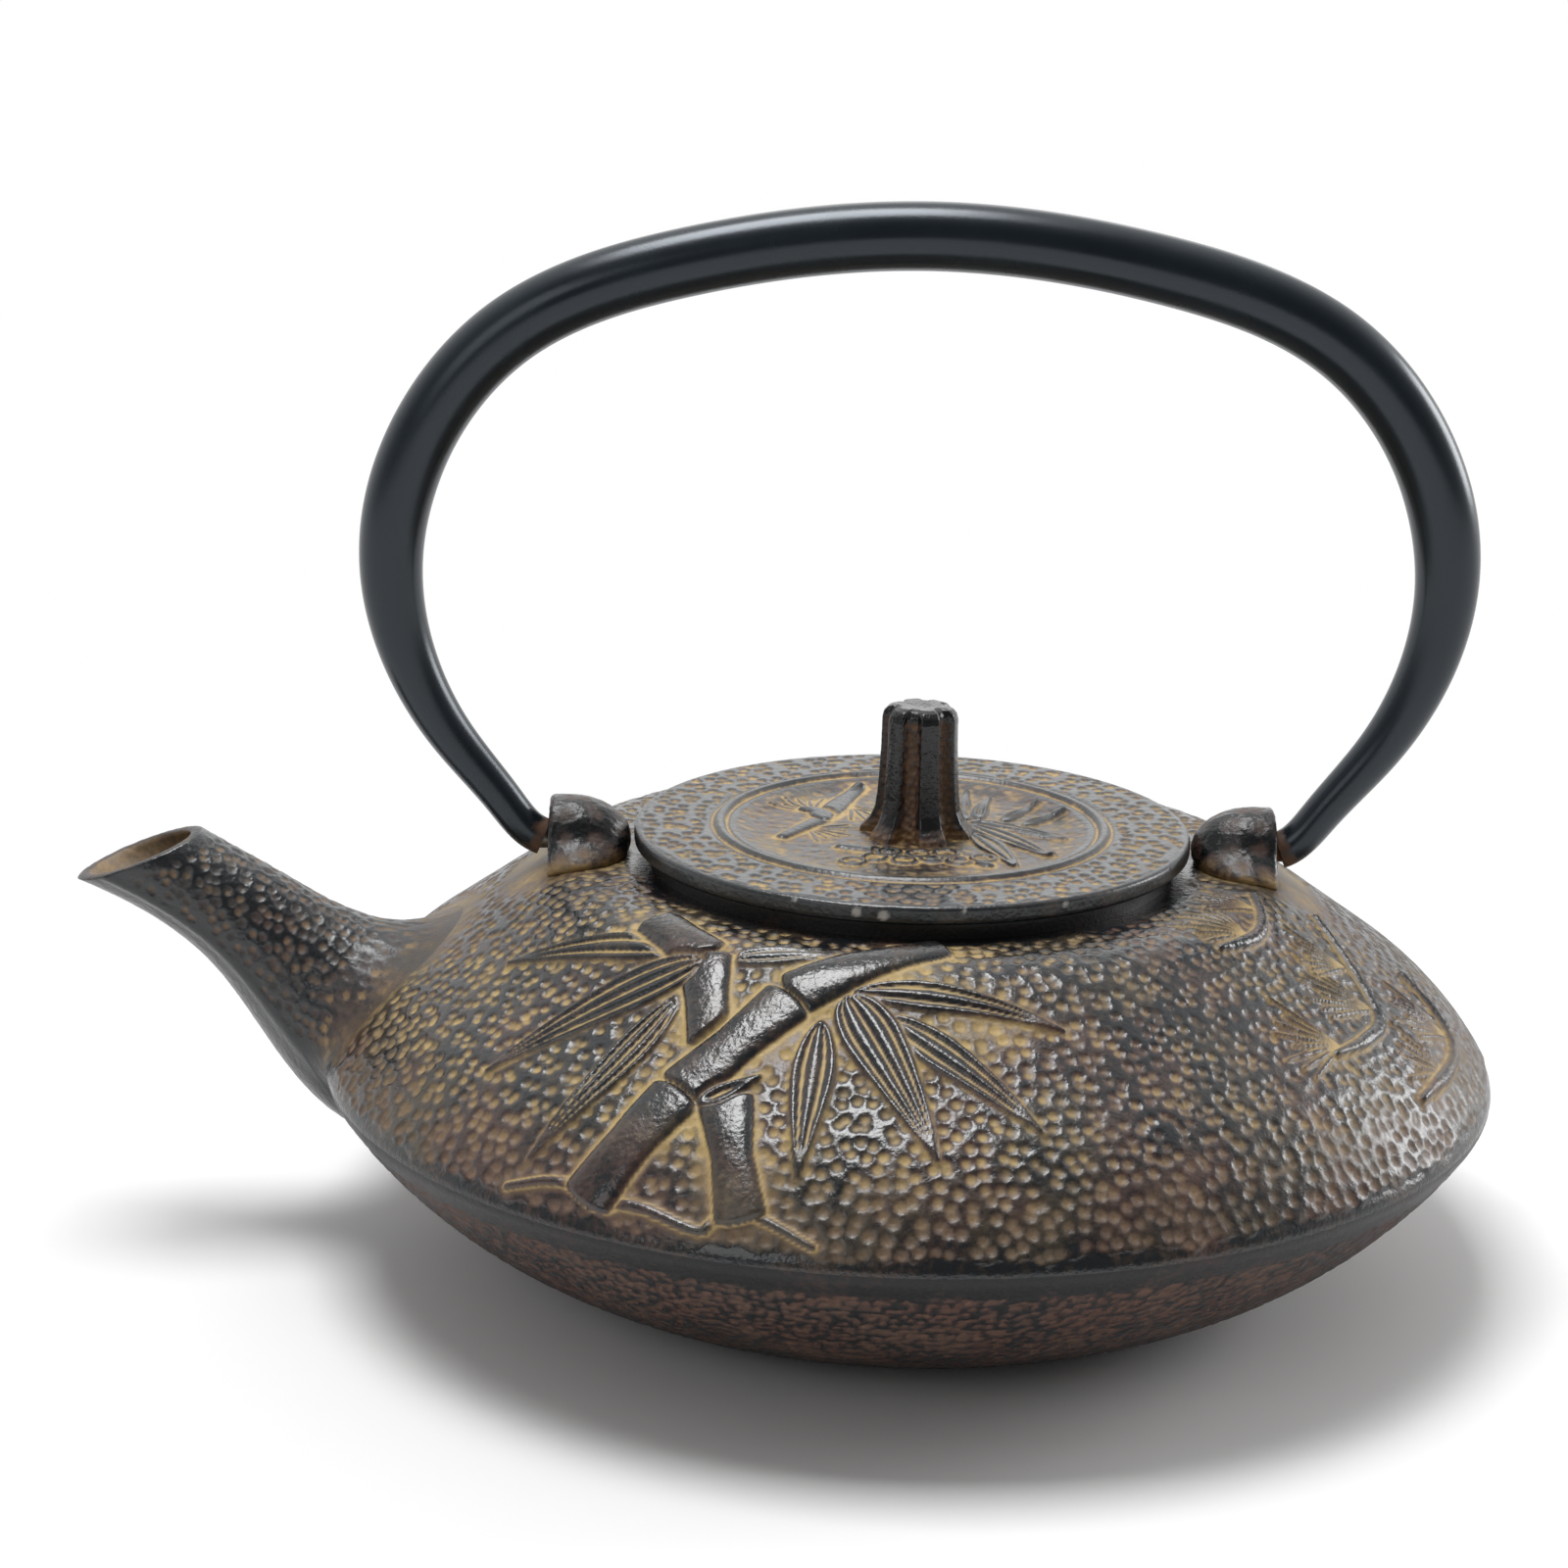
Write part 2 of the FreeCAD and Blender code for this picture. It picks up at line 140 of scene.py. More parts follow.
def skin(name, rings, caps=(), hoop=False, flip=False, keep=None, joined=True):
    """Mesh piece over rings of points, with flat caps on its "start" or "end" ring if named.

    A hoop joins its last ring to its first, and an unjoined skin leaves its rings open.
    """
    rows, columns = rings.shape[:2]
    index = np.arange(rows * columns).reshape(rows, columns)
    if hoop:
        index = np.vstack([index, index[:1]])
    if joined:
        index = np.hstack([index, index[:, :1]])
    quads = np.stack([index[:-1, :-1], index[:-1, 1:], index[1:, 1:], index[1:, :-1]], -1).reshape(-1, 4)
    if keep is not None:
        quads = quads[keep.ravel()[quads].any(1)]
    loops = [quads.ravel()]
    sizes = [4] * len(quads)
    for cap, ring in (("start", index[0, :columns][::-1]), ("end", index[-1, :columns])):
        if cap in caps:
            loops.append(ring)
            sizes.append(columns)
    corners = np.concatenate(loops)
    starts = np.concatenate([[0], np.cumsum(sizes)[:-1]])
    mesh = bpy.data.meshes.new(name)
    mesh.vertices.add(rows * columns)
    mesh.vertices.foreach_set("co", (rings * MM).astype(np.float32).ravel())
    mesh.loops.add(len(corners))
    mesh.loops.foreach_set("vertex_index", corners.astype(np.int32))
    mesh.polygons.add(len(sizes))
    mesh.polygons.foreach_set("loop_start", starts.astype(np.int32))
    mesh.update(calc_edges=True)
    mesh.validate()
    if flip:
        mesh.flip_normals()
    mesh.shade_smooth()
    return placed(name, mesh)


def mark(piece, **values):
    """Store a number for each point of a piece under each name."""
    for name, value in values.items():
        attribute = piece.data.attributes.new(name, "FLOAT", "POINT")
        spread = np.broadcast_to(np.asarray(value, np.float32).ravel(), len(piece.data.vertices))
        attribute.data.foreach_set("value", np.ascontiguousarray(spread))


class Carving:
    """Low relief on a skin laid out flat, in millimetres.

    Each form that is drawn covers what lies under it, and sets its height, its share of gold and
    how far it is free of pits.
    """

    crease_lap = 0.2
    crease_width = 0.35
    leaf_edge = 0.45
    leaf_halo = 1.1
    leaf_floor = 0.05
    rib_room = 0.85
    needle_half_widths = (0.16, 0.24, 0.24, 0.14)
    needle_halo = 0.55

    def __init__(self, x, y):
        self.points = np.stack([x.ravel(), y.ravel()], -1)
        self.height = np.zeros(x.size)
        self.gold = np.zeros(x.size)
        self.pitted = np.ones(x.size)

    def grids(self, shape):
        """Height, gold and share of pits as grids of a shape."""
        return (part.reshape(shape) for part in (self.height, self.gold, self.pitted))

    def near(self, path, margin):
        inside = (self.points > path.min(0) - margin) & (self.points < path.max(0) + margin)
        return np.nonzero(inside.all(1))[0]

    def cover(self, pick, share, height, gold):
        self.height[pick] += (height - self.height[pick]) * share
        self.gold[pick] += (gold - self.gold[pick]) * share
        self.pitted[pick] *= 1 - share

    def beside(self, pick, path, bluntness):
        """Distance of the picked points from a path, and the share of it done at the nearest place."""
        run = lengths(path)
        gap = np.full(len(pick), np.inf)
        done = np.zeros(len(pick))
        for start, end, before in zip(path, path[1:], run):
            way = end - start
            reach = np.hypot(*way)
            offset = self.points[pick] - start
            along = offset @ way / reach
            held = np.clip(along, 0, reach)
            aside = (offset[:, 0] * way[1] - offset[:, 1] * way[0]) / reach
            here = np.hypot(aside, (along - held) * bluntness)
            closer = here < gap
            gap[closer] = here[closer]
            done[closer] = (before + held)[closer]
        return gap, done / run[-1]

    def ridge(self, path, half_widths, height, halo, bluntness=1.0, flatness=4, grain=0.0):
        """Raised band along a path, with gold in the crease beside it and a grain on its back."""
        path = np.array(path, float)
        pick = self.near(path, max(half_widths) + halo)
        gap, done = self.beside(pick, path, bluntness)
        half = np.interp(done, np.linspace(0, 1, len(half_widths)), half_widths)
        x, y = self.points[pick].T
        ripple = np.sin(4.9 * x + 2 * np.sin(3.7 * y)) * np.sin(5.3 * y + 2 * np.sin(4.1 * x))
        swell = (height + grain * ripple) * np.sqrt(np.clip(1 - (gap / half) ** flatness, 0, 1))
        share = 1 - eased((gap - half) / halo)
        self.cover(pick, share, swell, eased((gap - half + self.crease_lap) / self.crease_width))

    def groove(self, path, half_width, depth, gold):
        """Sunk line along a path, with gold in it."""
        path = np.array(path, float)
        pick = self.near(path, half_width + self.crease_width)
        gap, _ = self.beside(pick, path, 1.0)
        self.cover(pick, 1 - eased((gap - half_width) / self.crease_width), -depth, gold)

    def wash(self, path, reach, gold):
        """Gold rubbed over the ground beside a path, thinner with the distance from it."""
        path = np.array(path, float)
        pick = self.near(path, reach)
        gap, _ = self.beside(pick, path, 1.0)
        self.gold[pick] = np.maximum(self.gold[pick], gold * (1 - eased(gap / reach)))

    def leaf(self, base, tip, half_width, bend=0.0, ribs=3, fullest=0.35, roundness=0.7, height=0.5):
        """Pointed leaf of raised ribs that run together at its ends, with gold between them."""
        base, tip = np.array(base, float), np.array(tip, float)
        way = tip - base
        length = np.hypot(*way)
        way = way / length
        pick = self.near(np.array([base, tip]), half_width * 2 + abs(bend))
        offset = self.points[pick] - base
        along = offset @ way / length
        share = np.clip(along, 0, 1)
        aside = offset @ np.array([-way[1], way[0]]) - bend * 4 * share * (1 - share)
        before = np.clip(1 - (1 - share / fullest) ** 2, 0, 1) ** roundness
        after = 1 - np.clip((share - fullest) / (1 - fullest), 0, 1) ** 1.4
        half = half_width * np.where(share < fullest, before, after) + self.leaf_floor
        outside = np.maximum(np.abs(aside) - half, np.abs(along - share) * length)
        across = np.clip(aside / half, -1, 1)
        rib = 0.5 + 0.5 * np.cos(math.pi * (ribs - 1) * (across + 1))
        rib += (1 - rib) * eased((self.rib_room - half) / self.leaf_edge)
        rise = self.leaf_floor + (height - self.leaf_floor) * rib ** 0.6
        fall = 1 - eased(outside / self.leaf_edge)
        gold = np.where(outside > 0, 0.85 * eased(outside / 0.5), eased(1.0 - 4.4 * rib))
        self.cover(pick, 1 - eased(outside / self.leaf_halo), rise * fall, gold)

    def fan(self, root, heading, spread, length, count, height=0.34):
        """Pine needles that spread from one root, with angles in degrees."""
        root = np.array(root, float)
        needles = np.radians(np.linspace(heading - spread, heading + spread, count))
        for number, angle in enumerate(needles):
            reach = length * (0.86 + 0.14 * math.cos(2.4 * number))
            tip = root + reach * np.array([math.cos(angle), math.sin(angle)])
            start = root + 0.08 * (tip - root)
            self.ridge([start, tip], self.needle_half_widths, height, self.needle_halo, flatness=2)


def pit_rows(rings, spacing, straying, seed):
    """Middles of the pits on a skin: a row on every so many rings, half a step aside from row to row."""
    stray = np.random.default_rng(seed)
    rows, columns = rings.shape[:2]
    run = np.concatenate([[0], np.cumsum(np.linalg.norm(np.diff(rings, axis=0), axis=2).mean(1))])
    closed = np.concatenate([rings, rings[:, :1]], 1)
    middles = []
    for number, at in enumerate(np.arange(spacing / 2, run[-1], spacing * 0.87)):
        around = lengths(closed[np.searchsorted(run, at)])
        count = max(3, round(around[-1] / spacing))
        turn = (np.arange(count) + number % 2 / 2 + stray.uniform(-straying, straying, count)) % count / count
        column = np.interp(turn * around[-1], around, np.arange(columns + 1))
        row = np.interp(at + spacing * stray.uniform(-straying, straying, count), run, np.arange(rows))
        left, low = np.minimum(column.astype(int), columns - 1), np.minimum(row.astype(int), rows - 2)
        aside, above = (column - left)[:, None], (row - low)[:, None]
        lower = closed[low, left] * (1 - aside) + closed[low, left + 1] * aside
        upper = closed[low + 1, left] * (1 - aside) + closed[low + 1, left + 1] * aside
        middles.append(lower * (1 - above) + upper * above)
    return np.vstack(middles)


def fill(tree, node, inputs):
    """Link or set inputs of a node."""
    for socket, value in inputs.items():
        if isinstance(value, bpy.types.NodeSocket):
            tree.links.new(value, node.inputs[socket])
        else:
            node.inputs[socket].default_value = value


def add(tree, kind, settings={}, inputs={}):
    """Add a node with its settings and inputs."""
    node = tree.nodes.new(kind)
    for name, value in settings.items():
        setattr(node, name, value)
    fill(tree, node, inputs)
    return node


def reckon(tree, operation, *values, clamp=False):
    """Result of one operation on numbers or sockets."""
    settings = {"operation": operation, "use_clamp": clamp}
    return add(tree, "ShaderNodeMath", settings, dict(enumerate(values))).outputs[0]


def group(name, sizes):
    """New node tree that takes a geometry, named sizes and a finish, and its group input."""
    tree = bpy.data.node_groups.new(name, "GeometryNodeTree")
    tree.interface.new_socket("Geometry", in_out="INPUT", socket_type="NodeSocketGeometry")
    for size, kind in sizes.items():
        tree.interface.new_socket(size, in_out="INPUT", socket_type=kind)
    tree.interface.new_socket("Finish", in_out="INPUT", socket_type="NodeSocketMaterial")
    tree.interface.new_socket("Geometry", in_out="OUTPUT", socket_type="NodeSocketGeometry")
    return tree, add(tree, "NodeGroupInput").outputs


def recalled(tree, name):
    """Number that the geometry keeps for each of its points under a name."""
    return add(tree, "GeometryNodeInputNamedAttribute", {"data_type": "FLOAT"}, {"Name": name}).outputs[0]


def close(tree, geometry, finish):
    """End a tree with its instances made real and its finish set."""
    real = add(tree, "GeometryNodeRealizeInstances", {}, {"Geometry": geometry})
    done = add(tree, "GeometryNodeSetMaterial", {}, {"Geometry": real.outputs[0], "Material": finish})
    add(tree, "NodeGroupOutput", {}, {0: done.outputs[0]})


def grow(piece, tree, **sizes):
    """Run a tree on a piece and keep its result as a plain mesh."""
    modifier = piece.modifiers.new(tree.name, "NODES")
    modifier.node_group = tree
    for socket in tree.interface.items_tree:
        name = socket.name.replace(" ", "_").lower()
        if socket.in_out == "INPUT" and name in sizes:
            modifier[socket.identifier] = sizes[name]
    depsgraph = bpy.context.evaluated_depsgraph_get()
    plain = bpy.data.meshes.new_from_object(piece.evaluated_get(depsgraph), depsgraph=depsgraph)
    piece.modifiers.remove(modifier)
    piece.data, rough = plain, piece.data
    bpy.data.meshes.remove(rough)
    plain.name = piece.name
    plain.shade_smooth()
    return piece


# Cast skin: a pit round each given middle, the relief and a fine sandy grain, all along the normals.
# It keeps how hollow each place is, and a tone for each pit, for the finish to read.
cast_skin, given = group("cast_skin", {
    "Pits": "NodeSocketObject",
    "Pit radius": "NodeSocketFloat",
    "Pit depth": "NodeSocketFloat",
    "Grain size": "NodeSocketFloat",
    "Grain depth": "NodeSocketFloat",
})
middles = add(cast_skin, "GeometryNodeObjectInfo", {}, {"Object": given["Pits"]}).outputs["Geometry"]
nearby = add(cast_skin, "GeometryNodeProximity", {"target_element": "POINTS"}, {0: middles})
share = reckon(cast_skin, "DIVIDE", nearby.outputs["Distance"], given["Pit radius"])
bare = reckon(cast_skin, "SUBTRACT", 1.0, reckon(cast_skin, "POWER", share, 2.0), clamp=True)
dip = reckon(cast_skin, "POWER", bare, pit_roundness)
relief, pitted, gold = (recalled(cast_skin, name) for name in ("relief", "pitted", "gold"))
pits = reckon(cast_skin, "MULTIPLY", dip, pitted)
hollow = reckon(cast_skin, "ADD", pits, gold, clamp=True)
nearest = add(cast_skin, "GeometryNodeSampleNearest", {}, {0: middles}).outputs[0]
chance = add(cast_skin, "FunctionNodeRandomValue", {"data_type": "FLOAT"}, {"ID": nearest, "Seed": tone_seed})
tone = reckon(cast_skin, "MAXIMUM", chance.outputs[1], gold)
finer = reckon(cast_skin, "DIVIDE", 1.0, given["Grain size"])
place = add(cast_skin, "GeometryNodeInputPosition").outputs[0]
sand = add(cast_skin, "ShaderNodeTexNoise", {}, {"Vector": place, "Scale": finer, "Detail": 2.0})
rough = reckon(cast_skin, "SUBTRACT", sand.outputs["Fac"], 0.5)
rough = reckon(cast_skin, "MULTIPLY", rough, given["Grain depth"])
sunk = reckon(cast_skin, "MULTIPLY", pits, given["Pit depth"])
lift = reckon(cast_skin, "ADD", reckon(cast_skin, "SUBTRACT", relief, sunk), rough)
normal = add(cast_skin, "GeometryNodeInputNormal").outputs[0]
offset = add(cast_skin, "ShaderNodeVectorMath", {"operation": "SCALE"}, {0: normal, 3: lift}).outputs[0]
kept = given["Geometry"]
for name, value in (("hollow", hollow), ("tone", tone)):
    kept = add(
        cast_skin,
        "GeometryNodeStoreNamedAttribute",
        {"data_type": "FLOAT", "domain": "POINT"},
        {"Geometry": kept, "Name": name, "Value": value},
    ).outputs[0]
moved = add(cast_skin, "GeometryNodeSetPosition", {}, {"Geometry": kept, "Offset": offset}).outputs[0]
close(cast_skin, moved, given["Finish"])


def cast(piece, middles, finish, radius=pit_radius, depth=pit_depth, grain=0.9, grain_depth=0.05):
    """Give a piece its cast skin, with a pit at each of the middles."""
    mesh = bpy.data.meshes.new("pit_middles")
    mesh.from_pydata((middles * MM).tolist(), [], [])
    points = placed("pit_middles", mesh)
    grow(
        piece,
        cast_skin,
        pits=points,
        pit_radius=radius * MM,
        pit_depth=depth * MM,
        grain_size=grain * MM,
        grain_depth=grain_depth * MM,
        finish=finish,
    )
    bpy.data.objects.remove(points)
    bpy.data.meshes.remove(mesh)
    return piece


def linear(code):
    """Linear colour of an sRGB hex code."""
    parts = [int(code[start:start + 2], 16) / 255 for start in (1, 3, 5)]
    return [part / 12.92 if part <= 0.04045 else ((part + 0.055) / 1.055) ** 2.4 for part in parts] + [1.0]


def ranged(tree, value, low=0.0, high=1.0, first=0.0, last=1.0, clamp=True):
    """Value taken from the range low to high into the range first to last."""
    inputs = dict(enumerate((value, low, high, first, last)))
    return add(tree, "ShaderNodeMapRange", {"clamp": clamp}, inputs).outputs[0]


def mottled(tree, place, size, detail):
    """Soft noise with spots of a size in millimetres."""
    inputs = {"Vector": place, "Scale": 1 / (size * MM), "Detail": detail}
    return add(tree, "ShaderNodeTexNoise", {}, inputs).outputs["Fac"]


def blended(tree, share, below, above):
    """Colour above laid over the colour below by a share. Colours are hex codes or sockets."""
    inputs = {0: share}
    for socket, colour in ((6, below), (7, above)):
        inputs[socket] = linear(colour) if isinstance(colour, str) else colour
    return add(tree, "ShaderNodeMix", {"data_type": "RGBA"}, inputs).outputs[2]


def rippled(tree, height, strength, depth):
    """Normal of a surface that is uneven by a depth in millimetres."""
    inputs = {"Strength": strength, "Distance": depth * MM, "Height": height}
    return add(tree, "ShaderNodeBump", {}, inputs).outputs[0]


def started(name):
    """New material, its tree, its shader and the place on the piece."""
    material = bpy.data.materials.new(name)
    material.use_nodes = True
    tree = material.node_tree
    return material, tree, tree.nodes["Principled BSDF"], add(tree, "ShaderNodeTexCoord").outputs["Object"]


def lacquered_iron(
    name, ridge, middle, hollow, ruddy="#4A3329", worn="#745A46", chip="#B4B2AC", gloss=0.28, dullness=0.6,
    shine=0.75, palest=0.5, browning=0.05, blotch=7.0, speck=0.9, grit=0.45,
):
    """Cast iron under dark baked lacquer that is thin on worn places.

    The ridges are black and satin, the sides brown with ruddy patches, and what is rubbed into the
    hollows is dull: gold where it is thick, red-brown where it is worn, and least of all in the palest.
    Blotch, speck and grit are pattern sizes in millimetres.
    """
    material, tree, shader, place = started(name)
    stored = {}
    for kind in ("hollow", "tone", "gilt", "chipped"):
        stored[kind] = add(tree, "ShaderNodeAttribute", {"attribute_name": kind}).outputs["Fac"]
    wear = stored["hollow"]
    for size, strength in ((blotch, 0.26), (speck, 0.2)):
        change = ranged(tree, mottled(tree, place, size, detail=3.0), 0.25, 0.75, -strength, strength)
        wear = reckon(tree, "ADD", wear, change)
    browned = ranged(tree, wear, browning, browning + 0.45)
    toned = reckon(tree, "MAXIMUM", ranged(tree, stored["tone"], first=palest, last=1.1, clamp=False), 0.0)
    rubbed = reckon(tree, "MULTIPLY", ranged(tree, wear, 0.35, 0.95), toned)
    rubbed = reckon(tree, "MULTIPLY", rubbed, ranged(tree, stored["gilt"], first=0.55))
    gilding = blended(tree, stored["gilt"], worn, hollow)
    reddened = ranged(tree, mottled(tree, place, 1.7 * blotch, detail=3.0), 0.42, 0.62)
    colour = blended(tree, browned, ridge, blended(tree, reddened, middle, ruddy))
    colour = blended(tree, stored["chipped"], blended(tree, rubbed, colour, gilding), chip)
    fill(tree, shader, {
        "Base Color": colour,
        "Roughness": ranged(tree, wear, 0.0, 0.8, gloss, dullness),
        "Normal": rippled(tree, mottled(tree, place, grit, detail=2.0), strength=0.7, depth=0.09),
        "Specular IOR Level": shine,
    })
    return material


pot_iron = lacquered_iron(
    "lacquered_cast_iron", "#12161A", "#433829", "#B49A62", gloss=0.22, shine=0.74, browning=-0.08
)

side = np.vstack([
    swelling(base_edge, belly, flank_bulge),
    swelling(belly, shoulder, shoulder_bulge)[1:],
    [crest, seat_foot],
])
side = softened(side, belly, belly_softening)
side = softened(evenly(side, side_step), crest, crest_softening)
widest = np.argmax(side[:, 0])
wall_path = evenly(side[widest:], wall_step)
wall_run = lengths(wall_path)
crest_run = wall_run[np.argmin(np.hypot(*(wall_path - np.array(crest)).T))]
wall_turn = circled(wall_columns)

# The wall laid out flat is a sector of a cone's skin, with the front in its middle.
slant = crest[0] / math.cos(bowl_slope) + crest_run - wall_run
flat_turn = wall_turn * math.cos(bowl_slope)
carving = Carving(slant[:, None] * np.sin(flat_turn), -slant[:, None] * np.cos(flat_turn))

# Bamboo at the front: gold rubbed over its ground, an uneven edge below it, leaves, and jointed stalks
# that cross.
for path, reach, gold in (
    ([(2.0, -49.5), (-28.5, -71.5)], 10.0, 0.64), ([(-32.5, -42.5), (-24.7, -63.6)], 8.5, 0.6),
    ([(-22.4, -73.2), (-20.8, -87.4)], 7.0, 0.6), ([(-14.0, -66.0), (9.0, -63.5)], 7.0, 0.48),
):
    carving.wash(path, reach, gold)
ground_edge = bent([
    (-49.5, -78.1), (-41.9, -79.3), (-35.5, -84.0), (-32.7, -84.5), (-25.4, -89.2), (-24.1, -87.6),
    (-20.9, -86.8), (-18.0, -88.2), (-12.7, -91.7),
])
carving.ridge(ground_edge, (0.4, 0.6, 0.5, 0.4), height=0.5, halo=1.0)
carving.leaf((-29.1, -49.5), (-52.8, -42.5), 1.9, bend=-1.0, ribs=3)
carving.leaf((-28.4, -56.7), (-46.3, -75.6), 2.1, bend=0.7, ribs=4)
carving.leaf((-22.5, -52.3), (-8.0, -52.8), 1.5, bend=0.5, ribs=3)
for upper, lower, half_widths in (
    ((-32.5, -42.5), (-26.2, -50.6), (3.0, 2.8, 3.2)),
    ((-25.6, -51.9), (-24.7, -63.6), (3.2, 2.6, 2.6)),
    ((2.0, -49.5), (-14.4, -58.4), (2.8, 2.9, 3.4)),
    ((-15.8, -59.7), (-27.2, -70.2), (3.5, 3.0, 3.6)),
    ((-28.5, -71.5), (-38.8, -82.2), (3.6, 3.1, 3.5)),
    ((-22.4, -73.2), (-20.8, -87.4), (3.2, 2.4, 3.0)),
):
    carving.ridge([upper, lower], half_widths, height=1.0, halo=1.2, bluntness=3.0, flatness=2.6, grain=0.06)
carving.leaf((-25.4, -72.9), (-18.6, -70.0), 0.9, ribs=2)
carving.leaf((-26.2, -51.8), (-52.8, -61.4), 2.8, bend=-0.6, ribs=4, fullest=0.3, roundness=0.5)
carving.leaf((-11.7, -63.0), (-14.2, -83.5), 2.2, ribs=3)
carving.leaf((-7.6, -58.9), (16.1, -63.1), 1.8, bend=1.0, ribs=3)
carving.leaf((-4.6, -62.4), (13.0, -77.4), 2.1, bend=0.5, ribs=3)
carving.leaf((-8.6, -59.6), (1.3, -81.7), 3.1, bend=0.3, ribs=4, fullest=0.25, roundness=0.45)

# Pine on the rear side: crooked branches with fans of needles, and short strokes of bark below.
for knot, heading, spread, length in (
    ((42.0, -40.0), 160, 50, 9.0), ((45.6, -33.0), 158, 36, 8.5),
    ((60.4, -44.2), 186, 28, 12.0), ((58.4, -37.0), 192, 28, 9.5),
    ((52.8, -54.6), 196, 40, 10.5), ((72.0, -49.0), 196, 40, 10.0), ((74.8, -40.0), 184, 30, 11.0),
):
    carving.fan(knot, heading, spread, length, count=8)
for branch in (
    [(46.8, -28.0), (45.6, -36.5), (43.0, -40.5), (37.6, -44.4)],
    [(56.7, -27.0), (60.6, -40.3), (61.7, -46.0), (56.6, -52.4), (51.8, -56.4)],
    [(70.5, -29.5), (75.9, -38.2), (74.0, -45.8), (65.1, -57.0)],
):
    carving.ridge(bent(branch), (0.5, 0.6, 0.85, 0.9, 0.5), height=0.65, halo=0.8, flatness=2.2, grain=0.12)
for stroke in (
    ((28.7, -70.4), (30.7, -72.0)), ((34.2, -69.4), (37.0, -70.8)), ((28.4, -73.2), (30.0, -74.8)),
    ((35.1, -73.8), (36.9, -75.3)), ((25.4, -78.4), (27.2, -79.4)), ((41.0, -77.4), (42.6, -76.2)),
):
    carving.groove(stroke, half_width=0.2, depth=0.25, gold=0.5)

# Spout's line, which the wall and the lining need for the hole they leave under it: reach, height, lean in
# degrees, half height and half width.
spout_sections = np.array([
    (52.0, 25.0, 15, 14.5, 13.5),
    (71.5, 29.0, 20, 12.8, 12.0),
    (78.5, 34.5, 27, 10.0, 9.2),
    (86.0, 41.8, 33, 7.4, 7.3),
    (94.5, 47.7, 38, 6.5, 6.9),
    (107.0, 54.3, 38, 7.2, 7.4),
])
spout_wall = 2.0
spout_line_count = 300
spout_zone_end = -40.0
spout_zone_half_width = 30.0
far_share = 9.0


def threaded(knots, values, at, slopes=None):
    """Smooth curve through values at knots, with free ends or with the given slopes at its ends."""
    gap = np.diff(knots)[:, None]
    rise = np.diff(values, axis=0) / gap
    count = len(knots)
    system = np.eye(count)
    right = np.zeros(values.shape)
    for knot in range(1, count - 1):
        before, after = gap[knot - 1, 0], gap[knot, 0]
        system[knot, knot - 1:knot + 2] = before, 2 * (before + after), after
        right[knot] = 6 * (rise[knot] - rise[knot - 1])
    if slopes is not None:
        system[0, :2] = 2 * gap[0, 0], gap[0, 0]
        system[-1, -2:] = gap[-1, 0], 2 * gap[-1, 0]
        right[0] = 6 * (rise[0] - slopes[0])
        right[-1] = 6 * (slopes[1] - rise[-1])
    bend = np.linalg.solve(system, right)
    span = np.clip(np.searchsorted(knots, at, side="right") - 1, 0, count - 2)
    left, rest = (at - knots[span])[:, None], (knots[span + 1] - at)[:, None]
    wide = gap[span]
    return (
        (bend[span] * rest ** 3 + bend[span + 1] * left ** 3) / (6 * wide)
        + (values[span] / wide - bend[span] * wide / 6) * rest
        + (values[span + 1] / wide - bend[span + 1] * wide / 6) * left
    )


spout_run = lengths(spout_sections[:, :2])
spout_line = threaded(spout_run, spout_sections, np.linspace(0, spout_run[-1], spout_line_count))


def across_spout(points, inset):
    """Share of the way from the spout's middle to its skin, inset, at each point near its root."""
    share = np.full(len(points), far_share)
    close_by = (points[:, 0] < spout_zone_end) & (np.abs(points[:, 1]) < spout_zone_half_width)
    close_by = np.nonzero(close_by)[0]
    reach, height, lean, half_height, half_width = spout_line.T
    lean = np.radians(lean)
    over = points[close_by, 0][:, None] + reach
    above = points[close_by, 2][:, None] - height
    nearest = np.abs(-over * np.cos(lean) + above * np.sin(lean)).argmin(1)
    rows = np.arange(len(close_by))
    up = (over * np.sin(lean) + above * np.cos(lean))[rows, nearest] / (half_height - inset)[nearest]
    side_way = points[close_by, 1] / (half_width - inset)[nearest]
    share[close_by] = np.hypot(up, side_way)
    return share


# The pits stop at an uneven edge a little above the widest line, at a smooth ring under the lid's edge,
# round the spout's root and round the lugs' feet. The smooth ring gets no gold, so it stays lacquer-black
# as painted shade under the lid. On the right the pits are filled in patches, and low down the ground
# between them is brown.
edge_waves = ((0.3, 23, 1), (0.25, 57, 0), (0.2, 131, 0))
edge_width = 0.7
ring_waves = ((0.5, 17, 0), (0.3, 41, 0))
ring_width = 1.5
gilt_around = (
    (-180, -120, -70, 5, 18, 38, 60, 110, 180),
    (0.7, 0.75, 0.95, 1.0, 0.75, 0.6, 0.75, 0.75, 0.7),
)
gilt_up = ((0, 5, 9, 14), (0.1, 0.2, 0.5, 1.0))
filled_around = ((0, 20, 70, 110), (0.0, 1.0, 1.0, 0.0))
brown_top = 17
brown_width = 9
brown_share = 0.18
lug_foot_middle = 44.5
lug_foot_reach = 9.5
lug_foot_half_width = 12.5
root_gold = 0.55


def wavy(level, waves):
    """Level round the wall with waves on it, each with its height, count and shift."""
    return sum((height * np.sin(count * wall_turn + shift) for height, count, shift in waves), level)


